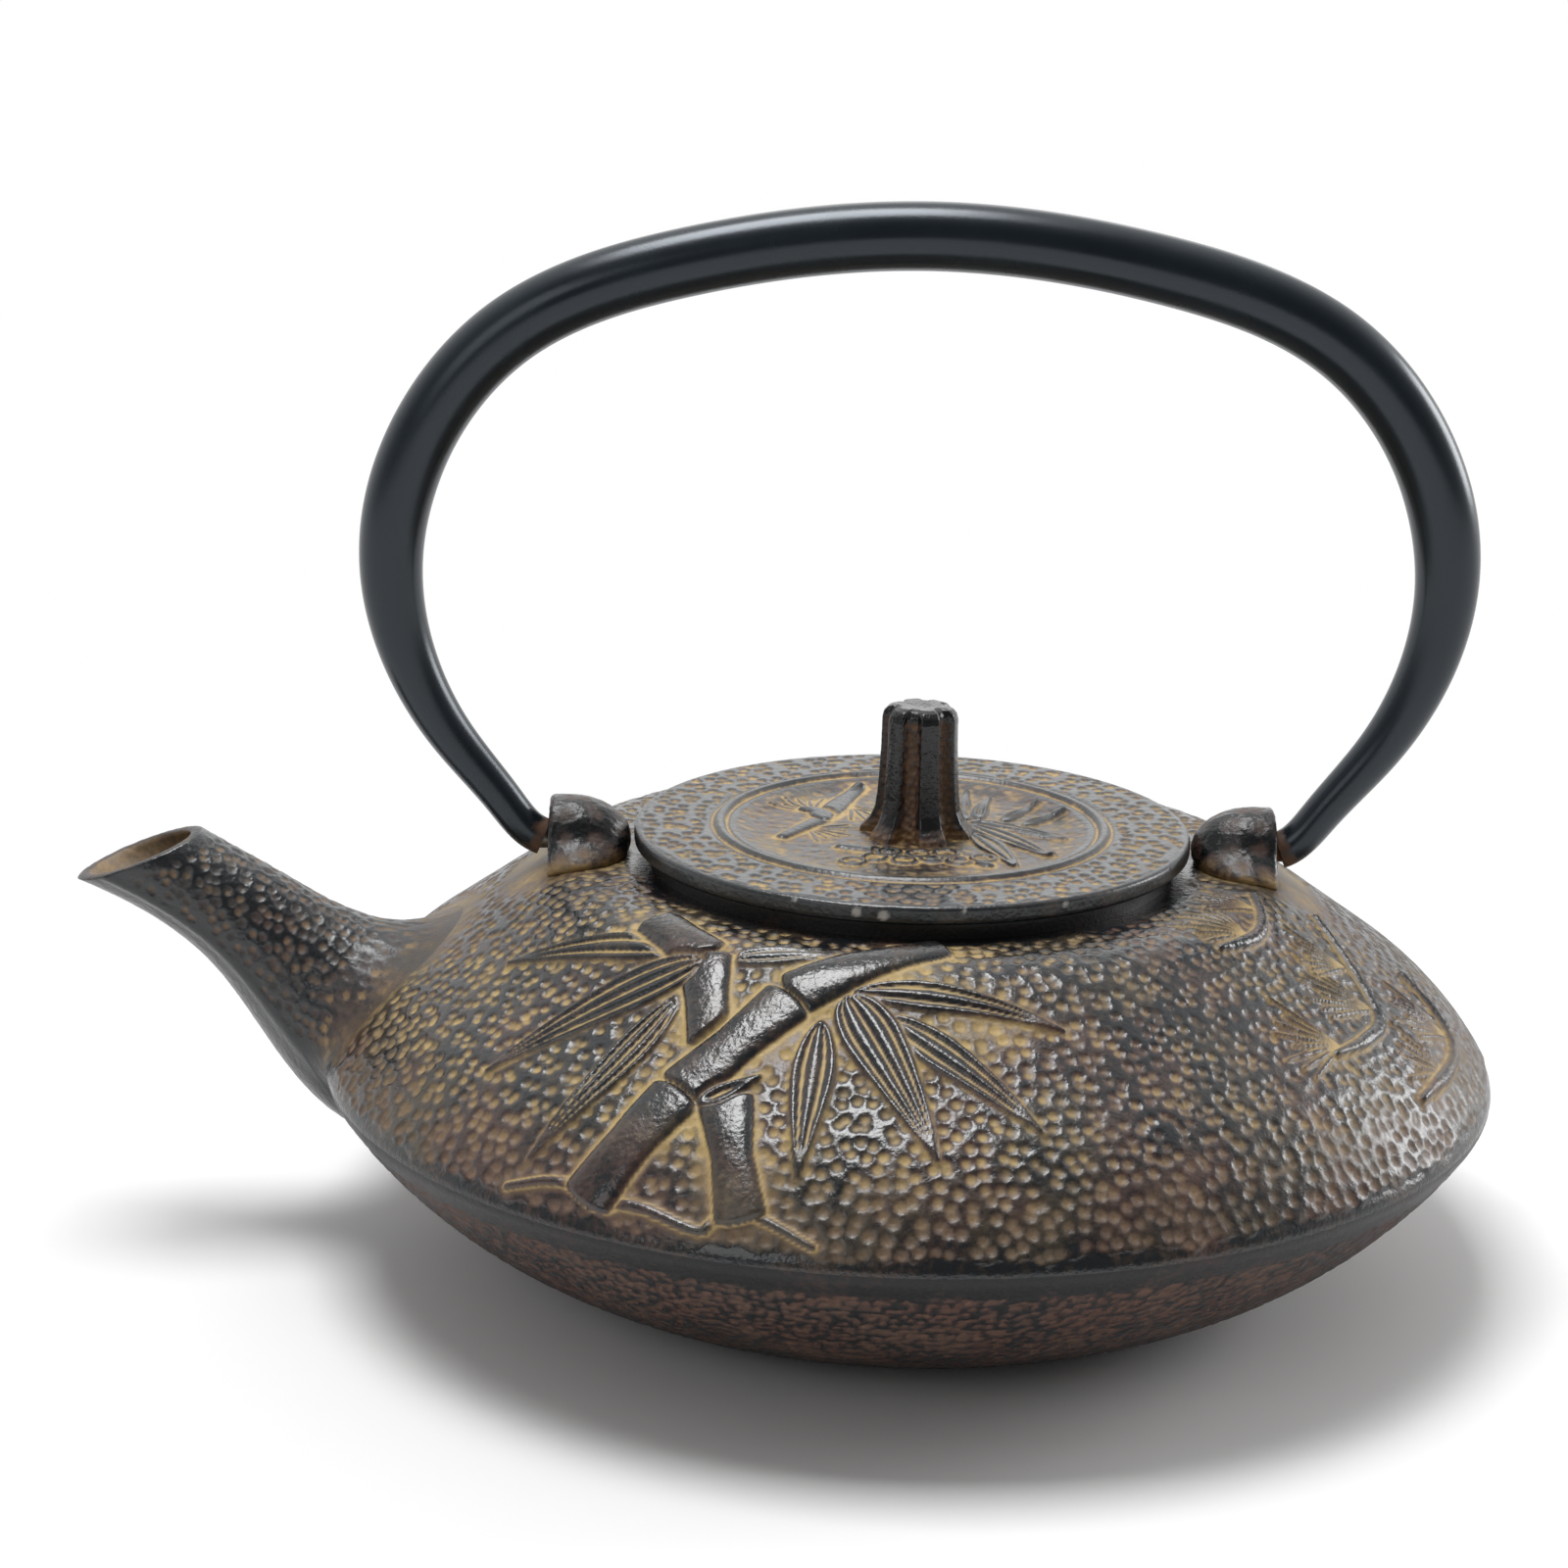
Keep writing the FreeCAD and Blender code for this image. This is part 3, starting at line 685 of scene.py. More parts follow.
wall_rings = turned(wall_path, wall_columns)
wall_shape = wall_rings.shape[:2]
wall_degrees = np.degrees(wall_turn)
relief, gold, pitted = carving.grids(wall_shape)
# Smooth ring under the lid's edge: no pits and no gold, so it stays black as painted shade under the lid.
smooth_ring_in_painted_shade = eased((wavy(mouth_ring, ring_waves) + 1.0 - wall_path[:, :1]) / ring_width)
textured = eased((wall_run[:, None] - wavy(seam_edge, edge_waves)) / edge_width) * (1 - smooth_ring_in_painted_shade)
gilt = np.interp(wall_degrees, *gilt_around) * np.interp(wall_run, *gilt_up)[:, None]
gilt = np.maximum(gilt, 0.9 * eased(gold * 2 - 1))
browned = brown_share * eased((brown_top - wall_run) / brown_width)[:, None]
across, along = carving.points.T.reshape(2, *wall_shape)
patches = np.sin(0.62 * across + 1.4 * np.sin(0.45 * along))
patches = patches * np.sin(0.7 * along + 1.3 * np.sin(0.5 * across))
shallow = 1 - np.interp(wall_degrees, *filled_around) * (0.1 + 0.4 * eased(0.5 + 0.9 * patches))
from_spout = across_spout(wall_rings.reshape(-1, 3), 0.0).reshape(wall_shape)
from_lug = np.hypot(
    (np.abs(wall_rings[..., 0]) - lug_foot_middle) / lug_foot_reach, wall_rings[..., 1] / lug_foot_half_width
)
rooted = np.maximum(1 - eased((from_spout - 1.2) / 0.4), 1 - eased((from_lug - 0.75) / 0.35))
wall = skin("pot_wall", wall_rings)
mark(
    wall,
    relief=(relief + seam_step * (1 - rooted)) * textured * MM,
    pitted=pitted * textured * shallow * (1 - rooted),
    gold=(gold + root_gold * rooted + browned) * textured,
    gilt=gilt,
)
cast(wall, pit_rows(wall_rings, pit_spacing, pit_straying, seed=3), pot_iron)


def read(name, values, width=1):
    """Numbers that a mesh keeps for each of its points."""
    numbers = np.zeros(len(values) * width, np.float32)
    values.foreach_get(name, numbers)
    return numbers.reshape(-1, width) if width > 1 else numbers


wall_points = read("co", wall.data.vertices, 3) / MM
wall_normals = read("vector", wall.data.vertex_normals, 3)
wall_marks = {name: read("value", wall.data.attributes[name].data) for name in ("hollow", "tone", "gilt")}
grid = np.arange(len(wall_points)).reshape(-1, wall_columns)
grid = np.hstack([grid, grid[:, :1]])
part_columns = wall_columns // len(wall_parts)
for number, name in enumerate(wall_parts):
    picked = grid[:, number * part_columns:(number + 1) * part_columns + 1]
    part_shape = picked.shape
    picked = picked.ravel()
    points = wall_points[picked]
    kept = across_spout(points, spout_wall) > 1
    part = skin(name, points.reshape(*part_shape, 3), joined=False, keep=kept)
    mark(part, **{kind: values[picked] for kind, values in wall_marks.items()})
    part.data.normals_split_custom_set_from_vertices(wall_normals[picked].tolist())
    part.data.materials.append(pot_iron)
    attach(part, "pot")
    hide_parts("pot_body")
bpy.data.objects.remove(wall)

# Bowl of the pot
# The lower half of the same casting, from the resting face to the widest line. It is plainer than the
# wall: fine pits under a matt red-brown lacquer, and a smooth dark band where the two halves meet.

bowl_step = 0.42
bowl_columns = 720
bowl_pit_spacing = 1.5
bowl_pit_straying = 0.3
bowl_pit_radius = 0.85
bowl_pit_depth = 0.32
base_rounding = 1.2
base_step = 3.0
smooth_band = 3.5

bowl_iron = lacquered_iron(
    "red_brown_cast_iron", "#1A1B1D", "#4C3C35", "#684E42", ruddy="#4A342D", gloss=0.4, dullness=0.7,
    shine=0.35,
)

# The resting face, the first half of the bend at its edge, and the flank.
flank = side[:widest + 1]
bowl_path = np.vstack([
    evenly([(2.0, 0.0), (base_edge[0] - base_rounding, 0.0)], base_step),
    softened(np.vstack([[(base_edge[0] - base_step, 0.0)], flank]), base_edge, base_rounding)[1:8],
    evenly(flank[lengths(flank) > 1.6], bowl_step),
])
bowl_rings = turned(bowl_path, bowl_columns)
bowl_run = lengths(bowl_path)
bowl = skin("pot_bowl", bowl_rings, caps=("start",))
fine = eased((bowl_run[-1] - smooth_band - bowl_run) / 0.8) * eased((bowl_path[:, 1] - 0.8) / 0.8)
mark(
    bowl,
    relief=np.repeat(0.1 * fine * MM, bowl_columns),
    pitted=np.repeat(fine, bowl_columns),
    gold=0.0,
    gilt=0.8,
)
cast(
    bowl, pit_rows(bowl_rings, bowl_pit_spacing, bowl_pit_straying, seed=4), bowl_iron,
    radius=bowl_pit_radius, depth=bowl_pit_depth, grain=0.8, grain_depth=0.12,
)
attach(bowl, "pot")
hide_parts("pot_body")

# Mouth and lining of the pot
# The ring that the lid rests on, the ledge for the infuser's rim, and the inside of the casting. The
# inside is smooth, and fired with a thin black coat against rust.

mouth_radius = 28.2
ledge_radius = 31.7
ledge_height = 52.7
seat_height = 53.6
pot_wall = 3.5
lining_columns = 300

lining_iron = lacquered_iron("fired_black_iron", "#161718", "#2A2320", "#463629", gloss=0.42, shine=0.5)


def cast_plain(piece, finish, gold, gilt, grain, grain_depth):
    """Give a piece a cast skin with grain alone."""
    mark(piece, relief=0.0, pitted=0.0, gold=gold, gilt=gilt)
    cast(piece, np.zeros((1, 3)), finish, grain=grain, grain_depth=grain_depth)


way = np.gradient(side, axis=0)
outward = np.stack([way[:, 1], -way[:, 0]], -1) / np.linalg.norm(way, axis=1)[:, None]
inner = side - outward * pot_wall
clear = np.array([np.hypot(*(side - point).T).min() for point in inner]) > pot_wall - 0.06
inner = inner[clear & (inner[:, 1] > pot_wall) & (inner[:, 0] > mouth_radius)][::-1]
seat = np.array([
    seat_foot, (seat_foot[0], seat_height - 0.4), (seat_foot[0] - 0.4, seat_height),
    (ledge_radius, seat_height), (ledge_radius, ledge_height), (mouth_radius + 0.3, ledge_height),
    (mouth_radius, ledge_height - 0.3), (mouth_radius, inner[0, 1]),
])
floor_path = [(inner[-1, 0], pot_wall), (2.0, pot_wall)]
lining_path = np.vstack([evenly(seat, 0.4), evenly(inner, 1.0), evenly(floor_path, 4.0)])
lining_rings = turned(lining_path, lining_columns)
kept = across_spout(lining_rings.reshape(-1, 3), spout_wall) > 1
lining = skin("pot_lining", lining_rings, caps=("end",), keep=kept)
cast_plain(lining, lining_iron, gold=0.0, gilt=0.5, grain=1.2, grain_depth=0.06)
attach(lining, "pot")
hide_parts("pot_body")

# Spout
# Cast in one with the pot: an oval tube that spreads into the wall at its root, narrows to a neck and
# opens in a slanted mouth. Its back and sides are pitted, and its underside is smooth below a ridge.

lip_tip = np.array([-107.3, 0.0, 47.0])
lip_heel = np.array([-91.5, 0.0, 53.2])
lip_wall = 1.3
spout_columns = 240
root_rows = 20
body_rows = 130
lip_rows = 8
bore_rows = 50
root_spread = 5.0
root_spread_above = 2.0
root_sink = 0.35
lip_swell = 0.2
ridge_level = -0.45
ridge_width = 0.11
ridge_height = 0.4
spout_pit_spacing = 1.9
spout_pit_straying = 0.34
spout_pit_radius = 0.85
spout_pit_depth = 0.22

spout_iron = lacquered_iron(
    "flecked_cast_iron", "#12171B", "#2B2928", "#A88A56", ruddy="#3C2E2A", blotch=5.0, speck=0.7, palest=-0.5
)

spout_turn = np.linspace(0, -2 * math.pi, spout_columns, endpoint=False)
lip_way = (lip_heel - lip_tip) / np.linalg.norm(lip_heel - lip_tip)
lip_out = np.array([-lip_way[2], 0.0, lip_way[0]])


def crossing(run, depth):
    """Length of each column at its last change of depth from below nought."""
    last = len(depth) - 1 - np.argmax(depth[::-1] < 0, axis=0)
    last = np.minimum(last, len(depth) - 2)
    columns = np.arange(depth.shape[1])
    low, high = depth[last, columns], depth[last + 1, columns]
    share = np.clip(-low / (high - low), 0, 1)
    return run[last, columns] * (1 - share) + run[last + 1, columns] * share


def spout_tube(inset):
    """Rings of the spout's skin, inset from its outside, with each column's lengths there and at the lip."""
    reach, height, lean, half_height, half_width = spout_line.T[..., None]
    up = (half_height - inset) * np.sin(spout_turn)
    lean = np.radians(lean)
    rings = np.stack([
        up * np.sin(lean) - reach,
        (half_width - inset) * np.cos(spout_turn) + 0 * reach,
        height + up * np.cos(lean),
    ], -1)
    steps = np.linalg.norm(np.diff(rings, axis=0), axis=2)
    run = np.vstack([np.zeros(spout_columns), np.cumsum(steps, 0)])
    return rings, run, crossing(run, (rings - lip_tip) @ lip_out)


def spout_rows(rings, run, targets):
    """Points of each column at the given lengths."""
    points = np.zeros((len(targets), spout_columns, 3))
    for column in range(spout_columns):
        points[:, column] = np.stack(
            [np.interp(targets[:, column], run[:, column], rings[:, column, axis]) for axis in range(3)], -1
        )
    return points


def reach_at(path, height):
    """Radius of a path at the given heights, up to its top."""
    rising = path[:np.argmax(path[:, 1]) + 1]
    return np.interp(height, rising[:, 1], rising[:, 0])


outer, outer_run, lip_run = spout_tube(0.0)
root_run = crossing(outer_run, np.hypot(outer[..., 0], outer[..., 1]) - reach_at(side, outer[..., 2]))
spread = root_spread + root_spread_above * np.clip(np.sin(spout_turn), 0, 1)
root = spout_rows(outer, outer_run, root_run[None])[0]
tube_start = spout_rows(outer, outer_run, (root_run + spread)[None])[0]
middle_line = np.stack([-spout_line[:, 0], 0 * spout_line[:, 0], spout_line[:, 1]], -1)
middle = spout_rows(np.repeat(middle_line[:, None], spout_columns, 1), outer_run, root_run[None])[0]
slope = (reach_at(side, root[:, 2] + 0.2) - reach_at(side, root[:, 2] - 0.2)) / 0.4
root_radius = np.hypot(*root[:, :2].T)
facing = np.stack([root[:, 0] / root_radius, root[:, 1] / root_radius, -slope], -1)
facing /= np.linalg.norm(facing, axis=1)[:, None]
away = root - middle
away -= facing * (away * facing).sum(1)[:, None]
foot = root + away / np.linalg.norm(away, axis=1)[:, None] * spread[:, None]
foot[:, :2] *= ((reach_at(side, foot[:, 2]) - root_sink) / np.hypot(*foot[:, :2].T))[:, None]
share = np.linspace(0, 1, root_rows)[:, None, None]
spout_root = foot * (1 - share) ** 2 + root * 2 * share * (1 - share) + tube_start * share ** 2
share = np.linspace(0, 1, body_rows)[1:, None]
spout_body = spout_rows(outer, outer_run, (root_run + spread) * (1 - share) + lip_run * share)
bore, bore_run, bore_lip = spout_tube(spout_wall)
bore_end = crossing(bore_run, np.hypot(bore[..., 0], bore[..., 1]) - reach_at(inner[::-1], bore[..., 2]))
share = np.linspace(0, 1, bore_rows)[:, None]
spout_bore = spout_rows(bore, bore_run, bore_lip * (1 - share) + bore_end * share)
flare, flare_run, flare_lip = spout_tube(lip_wall)
spout_flare = spout_rows(flare, flare_run, flare_lip * (1 - share) + bore_end * share)
spout_bore += (spout_flare - spout_bore) * (1 - eased(share / 0.2))[..., None]
share = np.linspace(0, 1, lip_rows)[1:-1, None, None]
swell = lip_out * lip_swell * 4 * share * (1 - share)
spout_lip = spout_body[-1] * (1 - share) + spout_bore[0] * share + swell
spout_rings = np.concatenate([spout_root, spout_body, spout_lip, spout_bore])

along = np.concatenate([
    np.linspace(0, 0.2, len(spout_root)), np.linspace(0.2, 1, len(spout_body)), np.full(len(spout_lip), 1.1),
    np.linspace(1.3, 2.5, len(spout_bore)),
])[:, None]
level = np.sin(spout_turn)[None]
outside = eased((1.03 - along) / 0.05)
upper_side = eased((level - ridge_level - 0.06) / 0.12) * outside * eased((0.97 - along) / 0.05)
ridge = np.exp(-((level - ridge_level) / ridge_width) ** 2) * outside * eased(along / 0.2)
in_mouth = eased((along - 1.05) / 0.1)
spout = skin("spout", spout_rings)
mark(
    spout,
    relief=ridge_height * ridge * MM,
    pitted=upper_side * eased((along - 0.06) / 0.08),
    gold=0.55 * eased((0.24 - along) / 0.2) + 0.75 * in_mouth * eased((1.8 - along) / 0.4) + 0 * level,
    gilt=0.3 + 0.4 * eased((0.3 - along) / 0.2) + 0.4 * in_mouth + 0 * level,
)
spout_pits = pit_rows(spout_rings[:-len(spout_bore)], spout_pit_spacing, spout_pit_straying, seed=6)
cast(spout, spout_pits, spout_iron, radius=spout_pit_radius, depth=spout_pit_depth, grain_depth=0.14)
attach(spout, "pot")
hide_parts("pot_body")

# Lugs of the bail
# Two blunt ears cast on the crest of the pot, level with each other. Each has a flat outer face with a
# blind hole for the bail's pin, and slopes down in a half dome towards the lid.

pivot_height = 53.4
lug_radius = 5.5
lug_face = 46.4
lug_shoulder = 43.8
lug_tip = 36.0
lug_foot_spread = 0.75
lug_foot_rise = 4.5
lug_rounding = 0.6
pin_hole_radius = 1.55
pin_hole_floor = 39.4
lug_pit_start = 14
lug_pit_spacing = 3.0
lug_pit_straying = 0.4
lug_pit_radius = 1.7
lug_pit_depth = 0.1
lug_gold_rise = 3.0
lug_columns = 220

lug_iron = lacquered_iron(
    "rough_cast_iron", "#0D1012", "#2E2420", "#A88A56", ruddy="#3E2B25", worn="#4E3B33", gloss=0.26,
    shine=0.6, blotch=2.6, speck=0.8,
)


def about_pivot(path, turn):
    """Rings about the line of the pins for a path of (reach, radius) points."""
    reach, radius = path[:, :1], path[:, 1:]
    return np.stack([reach + 0 * turn, radius * np.cos(turn), pivot_height + radius * np.sin(turn)], -1)


bend = np.linspace(0, math.pi / 2, 6)[1:]
lug_edge = (lug_face, lug_radius) - lug_rounding * (1 - np.stack([np.cos(bend), np.sin(bend)], -1))
dome = np.linspace(0, math.pi / 2, 40)[1:-1]
lug_path = np.vstack([
    [(pin_hole_floor, 0.3), (pin_hole_floor, pin_hole_radius)],
    evenly([(pin_hole_floor, pin_hole_radius), (lug_face, pin_hole_radius)], 1.0)[1:],
    evenly([(lug_face, pin_hole_radius + 0.2), (lug_face, lug_radius - lug_rounding)], 0.4),
    lug_edge,
    evenly([(lug_face - lug_rounding - 0.2, lug_radius), (lug_shoulder, lug_radius)], 0.3),
    np.stack([lug_shoulder - (lug_shoulder - lug_tip) * np.sin(dome), lug_radius * np.cos(dome)], -1),
    [(lug_tip, 0.2)],
])
lug_rings = about_pivot(lug_path, np.linspace(0, -2 * math.pi, lug_columns, endpoint=False))
face = np.abs(lug_rings[..., 0] - lug_face) < 0.05
ground = np.interp(np.hypot(lug_rings[..., 0], lug_rings[..., 1]), *wall_path[::-1].T)
above = lug_rings[..., 2] - ground
low = eased((lug_gold_rise - above) / lug_gold_rise)
lug_rings[..., 1] *= 1 + lug_foot_spread * eased((lug_foot_rise - above) / lug_foot_rise) ** 1.5
for name, sign in (("lug_spout_side", -1), ("lug_rear_side", 1)):
    rings = lug_rings * (sign, 1, 1)
    lug = skin(name, rings, caps=("start", "end"), flip=sign < 0)
    mark(lug, relief=0.0, pitted=np.where(face, 0.0, 0.6), gold=0.6 * low, gilt=0.1 + 0.8 * low)
    lug_pits = pit_rows(rings[lug_pit_start:], lug_pit_spacing, lug_pit_straying, seed=8)
    cast(lug, lug_pits, lug_iron, radius=lug_pit_radius, depth=lug_pit_depth, grain_depth=0.22)
    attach(lug, "pot")
    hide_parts("pot_body")

# Pins of the bail
# Two short steel pins, set in the ends of the bail, that turn in the blind holes of the lugs. They
# are plain ground rod, dull grey, and stained with rust where they show between lug and bail.

pin_radius = 1.5
pin_start = 39.7
pin_end = 49.4
pin_chamfer = 0.25
pin_columns = 48


def rusted_steel(name, patch):
    """Ground mild steel: grey and satin, with patches of orange-brown rust of a size in millimetres."""
    material, tree, shader, place = started(name)
    rust = ranged(tree, mottled(tree, place, patch, detail=4.0), 0.42, 0.62)
    fill(tree, shader, {
        "Base Color": blended(tree, rust, "#8C8A86", "#7A4A28"),
        "Metallic": ranged(tree, rust, first=1.0, last=0.0),
        "Roughness": ranged(tree, rust, first=0.38, last=0.8),
    })
    return material


pin_steel = rusted_steel("ground_mild_steel", patch=1.6)
pin_tip = np.array([
    (0.0, 0.3), (0.0, pin_radius - pin_chamfer), (pin_chamfer, pin_radius), (0.3, pin_radius),
])
pin_path = np.vstack([pin_tip + (pin_start, 0), (pin_tip * (-1, 1) + (pin_end, 0))[::-1]])
pin_rings = about_pivot(pin_path, np.linspace(0, 2 * math.pi, pin_columns, endpoint=False))
for name, sign in (("bail_pin_spout_side", -1), ("bail_pin_rear_side", 1)):
    pin = skin(name + "_rod", pin_rings * (sign, 1, 1), caps=("start", "end"), flip=sign < 0)
    pin.data.materials.append(pin_steel)
    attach(pin, "bail")
    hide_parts(name)

# Bail
# The carrying handle: one length of thin steel tube bent into a high arch, drawn down at both ends to
# the pins. Baked dark enamel covers it, and rust creeps up from the pins.

bail_points = np.array([
    (47.3, 53.4), (52.3, 58.1), (59.3, 67.0), (66.5, 88.8), (52.1, 117.9), (30.0, 127.2), (0.0, 131.0),
])
bail_end_slopes = np.array([(-0.955, 0.3), (-0.955, -0.3)])
bail_radius = 4.25
bail_end_radius = 2.4
bail_taper = 54.0
bail_sides = 40
bail_count = 420

# Drawn rod: a round section swept along edges, with its girth at each point from a stored share.
drawn_rod, given = group("drawn_rod", {"Radius": "NodeSocketFloat", "Sides": "NodeSocketInt"})
girth = recalled(drawn_rod, "girth")
line = add(drawn_rod, "GeometryNodeMeshToCurve", {}, {0: given["Geometry"]}).outputs[0]
section = add(drawn_rod, "GeometryNodeCurvePrimitiveCircle", {}, {
    "Resolution": given["Sides"], "Radius": given["Radius"],
}).outputs[0]
swept = add(drawn_rod, "GeometryNodeCurveToMesh", {}, {
    "Curve": line, "Profile Curve": section, "Scale": girth, "Fill Caps": True,
}).outputs[0]
close(drawn_rod, swept, given["Finish"])


def drawn(name, lines, radius, sides, finish, girths=1.0, closed=False, **marks):
    """Rod of a radius along each line of points, with marks kept for its finish."""
    points = np.vstack(lines)
    edges = []
    first = 0
    for line in lines:
        steps = np.arange(first, first + len(line))
        ends = np.roll(steps, -1)
        edges += np.stack([steps, ends], -1)[:None if closed else -1].tolist()
        first += len(line)
    mesh = bpy.data.meshes.new(name)
    mesh.from_pydata((points * MM).tolist(), edges, [])
    piece = placed(name, mesh)
    mark(piece, girth=girths, **marks)
    return grow(piece, drawn_rod, radius=radius * MM, sides=sides, finish=finish)


def baked_enamel(name, cloud=14.0, patch=1.3, grit=0.5):
    """Blue-black enamel baked on steel tube: satin, faintly clouded, rusty at the ends.

    Cloud, patch and grit are pattern sizes in millimetres.
    """
    material, tree, shader, place = started(name)
    clouded = mottled(tree, place, cloud, detail=4.0)
    patched = mottled(tree, place, patch, detail=4.0)
    near = add(tree, "ShaderNodeAttribute", {"attribute_name": "from_end"}).outputs["Fac"]
    near = ranged(tree, near, 0.5, 5.0, 0.45, -0.7)
    rust = ranged(tree, reckon(tree, "ADD", near, patched), 0.55, 0.95)
    enamel = blended(tree, clouded, "#080E13", "#0F1A21")
    stain = blended(tree, patched, "#2A261C", "#6A4424")
    fill(tree, shader, {
        "Base Color": blended(tree, rust, enamel, stain),
        "Roughness": reckon(tree, "MULTIPLY_ADD", rust, 0.4, ranged(tree, clouded, 0.3, 0.7, 0.22, 0.3)),
        "Normal": rippled(tree, mottled(tree, place, grit, detail=2.0), strength=0.25, depth=0.03),
        "Specular IOR Level": 0.7,
        "Specular Tint": linear("#E0E9F2"),
    })
    return material


bail_paint = baked_enamel("baked_enamel_on_steel")
bail_arch = np.vstack([bail_points * (-1, 1), bail_points[-2::-1]])
bail_knots = lengths(bail_arch)
bail_line = threaded(bail_knots, bail_arch, np.linspace(0, bail_knots[-1], bail_count), bail_end_slopes)
bail_line = evenly(bail_line, bail_knots[-1] / bail_count)
bail_run = lengths(bail_line)
from_end = np.minimum(bail_run, bail_run[-1] - bail_run)
bail = drawn(
    "bail_tube_bent",
    [np.insert(bail_line, 1, 0.0, axis=1)],
    bail_radius,
    bail_sides,
    bail_paint,
    girths=(bail_end_radius + (bail_radius - bail_end_radius) * eased(from_end / bail_taper)) / bail_radius,
    from_end=from_end,
)
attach(bail, "bail")
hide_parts("bail_tube")

# Infuser
# A loose basket that hangs in the mouth: a pressed stainless rim with a short collar, woven wire cloth
# rolled into a wall, a folded band round its foot, and a disc of the same cloth for a base.

rim_inner = 27.0
rim_outer = 31.3
rim_top = 53.3
rim_thickness = 0.6
collar_foot = 47.7
cloth_radius = 26.7
cloth_foot = 19.6
wire_radius = 0.14
wire_count = 132
wire_sides = 4
hoop_count = 28
base_radius = 26.0
base_pitch = 1.3
band_top = 22.2
band_foot = 18.7
band_lip = 24.4
infuser_columns = 240


def stainless(name, streak):
    """Stainless sheet or wire: bright grey metal with fine streaks of a size in millimetres."""
    material, tree, shader, place = started(name)
    stretched = add(tree, "ShaderNodeMapping", {}, {"Vector": place, "Scale": (1.0, 1.0, 9.0)}).outputs[0]
    streaks = mottled(tree, stretched, streak, detail=3.0)
    fill(tree, shader, {
        "Base Color": blended(tree, streaks, "#A9A9A6", "#D2D2CF"),
        "Roughness": ranged(tree, streaks, 0.3, 0.7, 0.2, 0.36),
        "Metallic": 1.0,
    })
    return material


infuser_steel = stainless("rolled_stainless_sheet", streak=2.0)
infuser_mesh = stainless("woven_stainless_wire", streak=0.8)
rim_foot = rim_top - rim_thickness
collar = rim_inner + rim_thickness
rim_path = np.array([
    (rim_inner, collar_foot), (collar, collar_foot), (collar, rim_foot - 0.3), (collar + 0.3, rim_foot),
    (rim_outer - 0.2, rim_foot), (rim_outer, rim_foot + 0.2), (rim_outer, rim_top - 0.2),
    (rim_outer - 0.2, rim_top), (rim_inner + 0.5, rim_top), (rim_inner, rim_top - 0.5),
])
band_floor = band_foot + rim_thickness
band_path = np.array([
    (band_lip, band_foot), (rim_inner + 0.3, band_foot), (collar, band_foot + 0.3), (collar, band_top),
    (rim_inner, band_top), (rim_inner, band_floor), (band_lip, band_floor),
])
for name, path in (("infuser_rim", rim_path), ("infuser_band", band_path)):
    hoop = skin(name + "_pressed", turned(path, infuser_columns), hoop=True)
    hoop.data.materials.append(infuser_steel)
    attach(hoop, "infuser")
    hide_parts(name)

# The cloth: each wire passes by turns before and behind the wires that cross it.
weave = np.array([0, 1, 0, -1])
heights = np.linspace(cloth_foot, rim_top - 0.3, 2 * hoop_count + 1)
wires = []
for number in range(wire_count):
    turn = 2 * math.pi * number / wire_count
    sway = cloth_radius + wire_radius * weave[(np.arange(len(heights)) + 2 * number) % 4]
    wires.append(np.stack([sway * math.sin(turn), -sway * math.cos(turn), heights], -1))
uprights = drawn("infuser_wall_uprights", wires, wire_radius, wire_sides, infuser_mesh)
hoops = []
step = np.arange(2 * wire_count)
turn = math.pi * step / wire_count
for number, height in enumerate(heights[1::2]):
    sway = cloth_radius + wire_radius * weave[(step + 2 * number + 3) % 4]
    hoops.append(np.stack([sway * np.sin(turn), -sway * np.cos(turn), height + 0 * turn], -1))
rounds = drawn("infuser_wall_rounds", hoops, wire_radius, wire_sides, infuser_mesh, closed=True)
base_wires = []
for offset in np.arange(-base_radius + 0.7, base_radius, base_pitch):
    half = math.sqrt(base_radius ** 2 - offset ** 2)
    along = np.arange(-half, half, base_pitch / 2)
    if len(along) < 3:
        continue
    phase = math.pi * along / base_pitch + math.pi * round(offset / base_pitch)
    sway = cloth_foot + wire_radius * np.sin(phase)
    base_wires.append(np.stack([along, offset + 0 * along, sway], -1))
    base_wires.append(np.stack([offset + 0 * along, along, 2 * cloth_foot - sway], -1))
base = drawn("infuser_base_cloth", base_wires, wire_radius, wire_sides, infuser_mesh)
for piece, node in ((uprights, "infuser_wall"), (rounds, "infuser_wall"), (base, "infuser_base")):
    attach(piece, "infuser")
    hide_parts(node)

# Lid
# A heavy iron disc with a skirt that centres it in the mouth. Its border is pitted, and a bead frames a
# shallow dish with pine, bamboo and plum in low relief; gold is rubbed into the ground.

lid_radius = 35.6
lid_underside = 53.6
lid_top = 55.9
lid_rounding = 0.5
bead_radius = 24.7
bead_half_width = 0.7
bead_rise = 0.45
dish_rim = 23.0
dish_floor_radius = 19.5
dish_floor = 55.0
lid_middle = 52.2
skirt_inner = 23.2
skirt_outer = 25.6
skirt_foot = 48.6
border_inner = 26.2
border_outer = 34.9
border_rise = 0.12
crease_depth = 0.18
petal_radius = 1.5
# Chips in the lid's edge: place across the front, height and size.
chips = ((-7.6, 54.9, 0.7), (-4.4, 54.7, 0.75), (5.2, 55.4, 0.4), (17.5, 55.2, 0.45), (-15.0, 55.5, 0.4))
chip_edge = 0.3
lid_pit_spacing = 2.15
lid_pit_straying = 0.34
lid_pit_depth = 0.34
lid_columns = 640
lid_step = 0.27
lid_side_step = 0.25
lid_side_rows = 6
underside_columns = 320
underside_step = 0.8

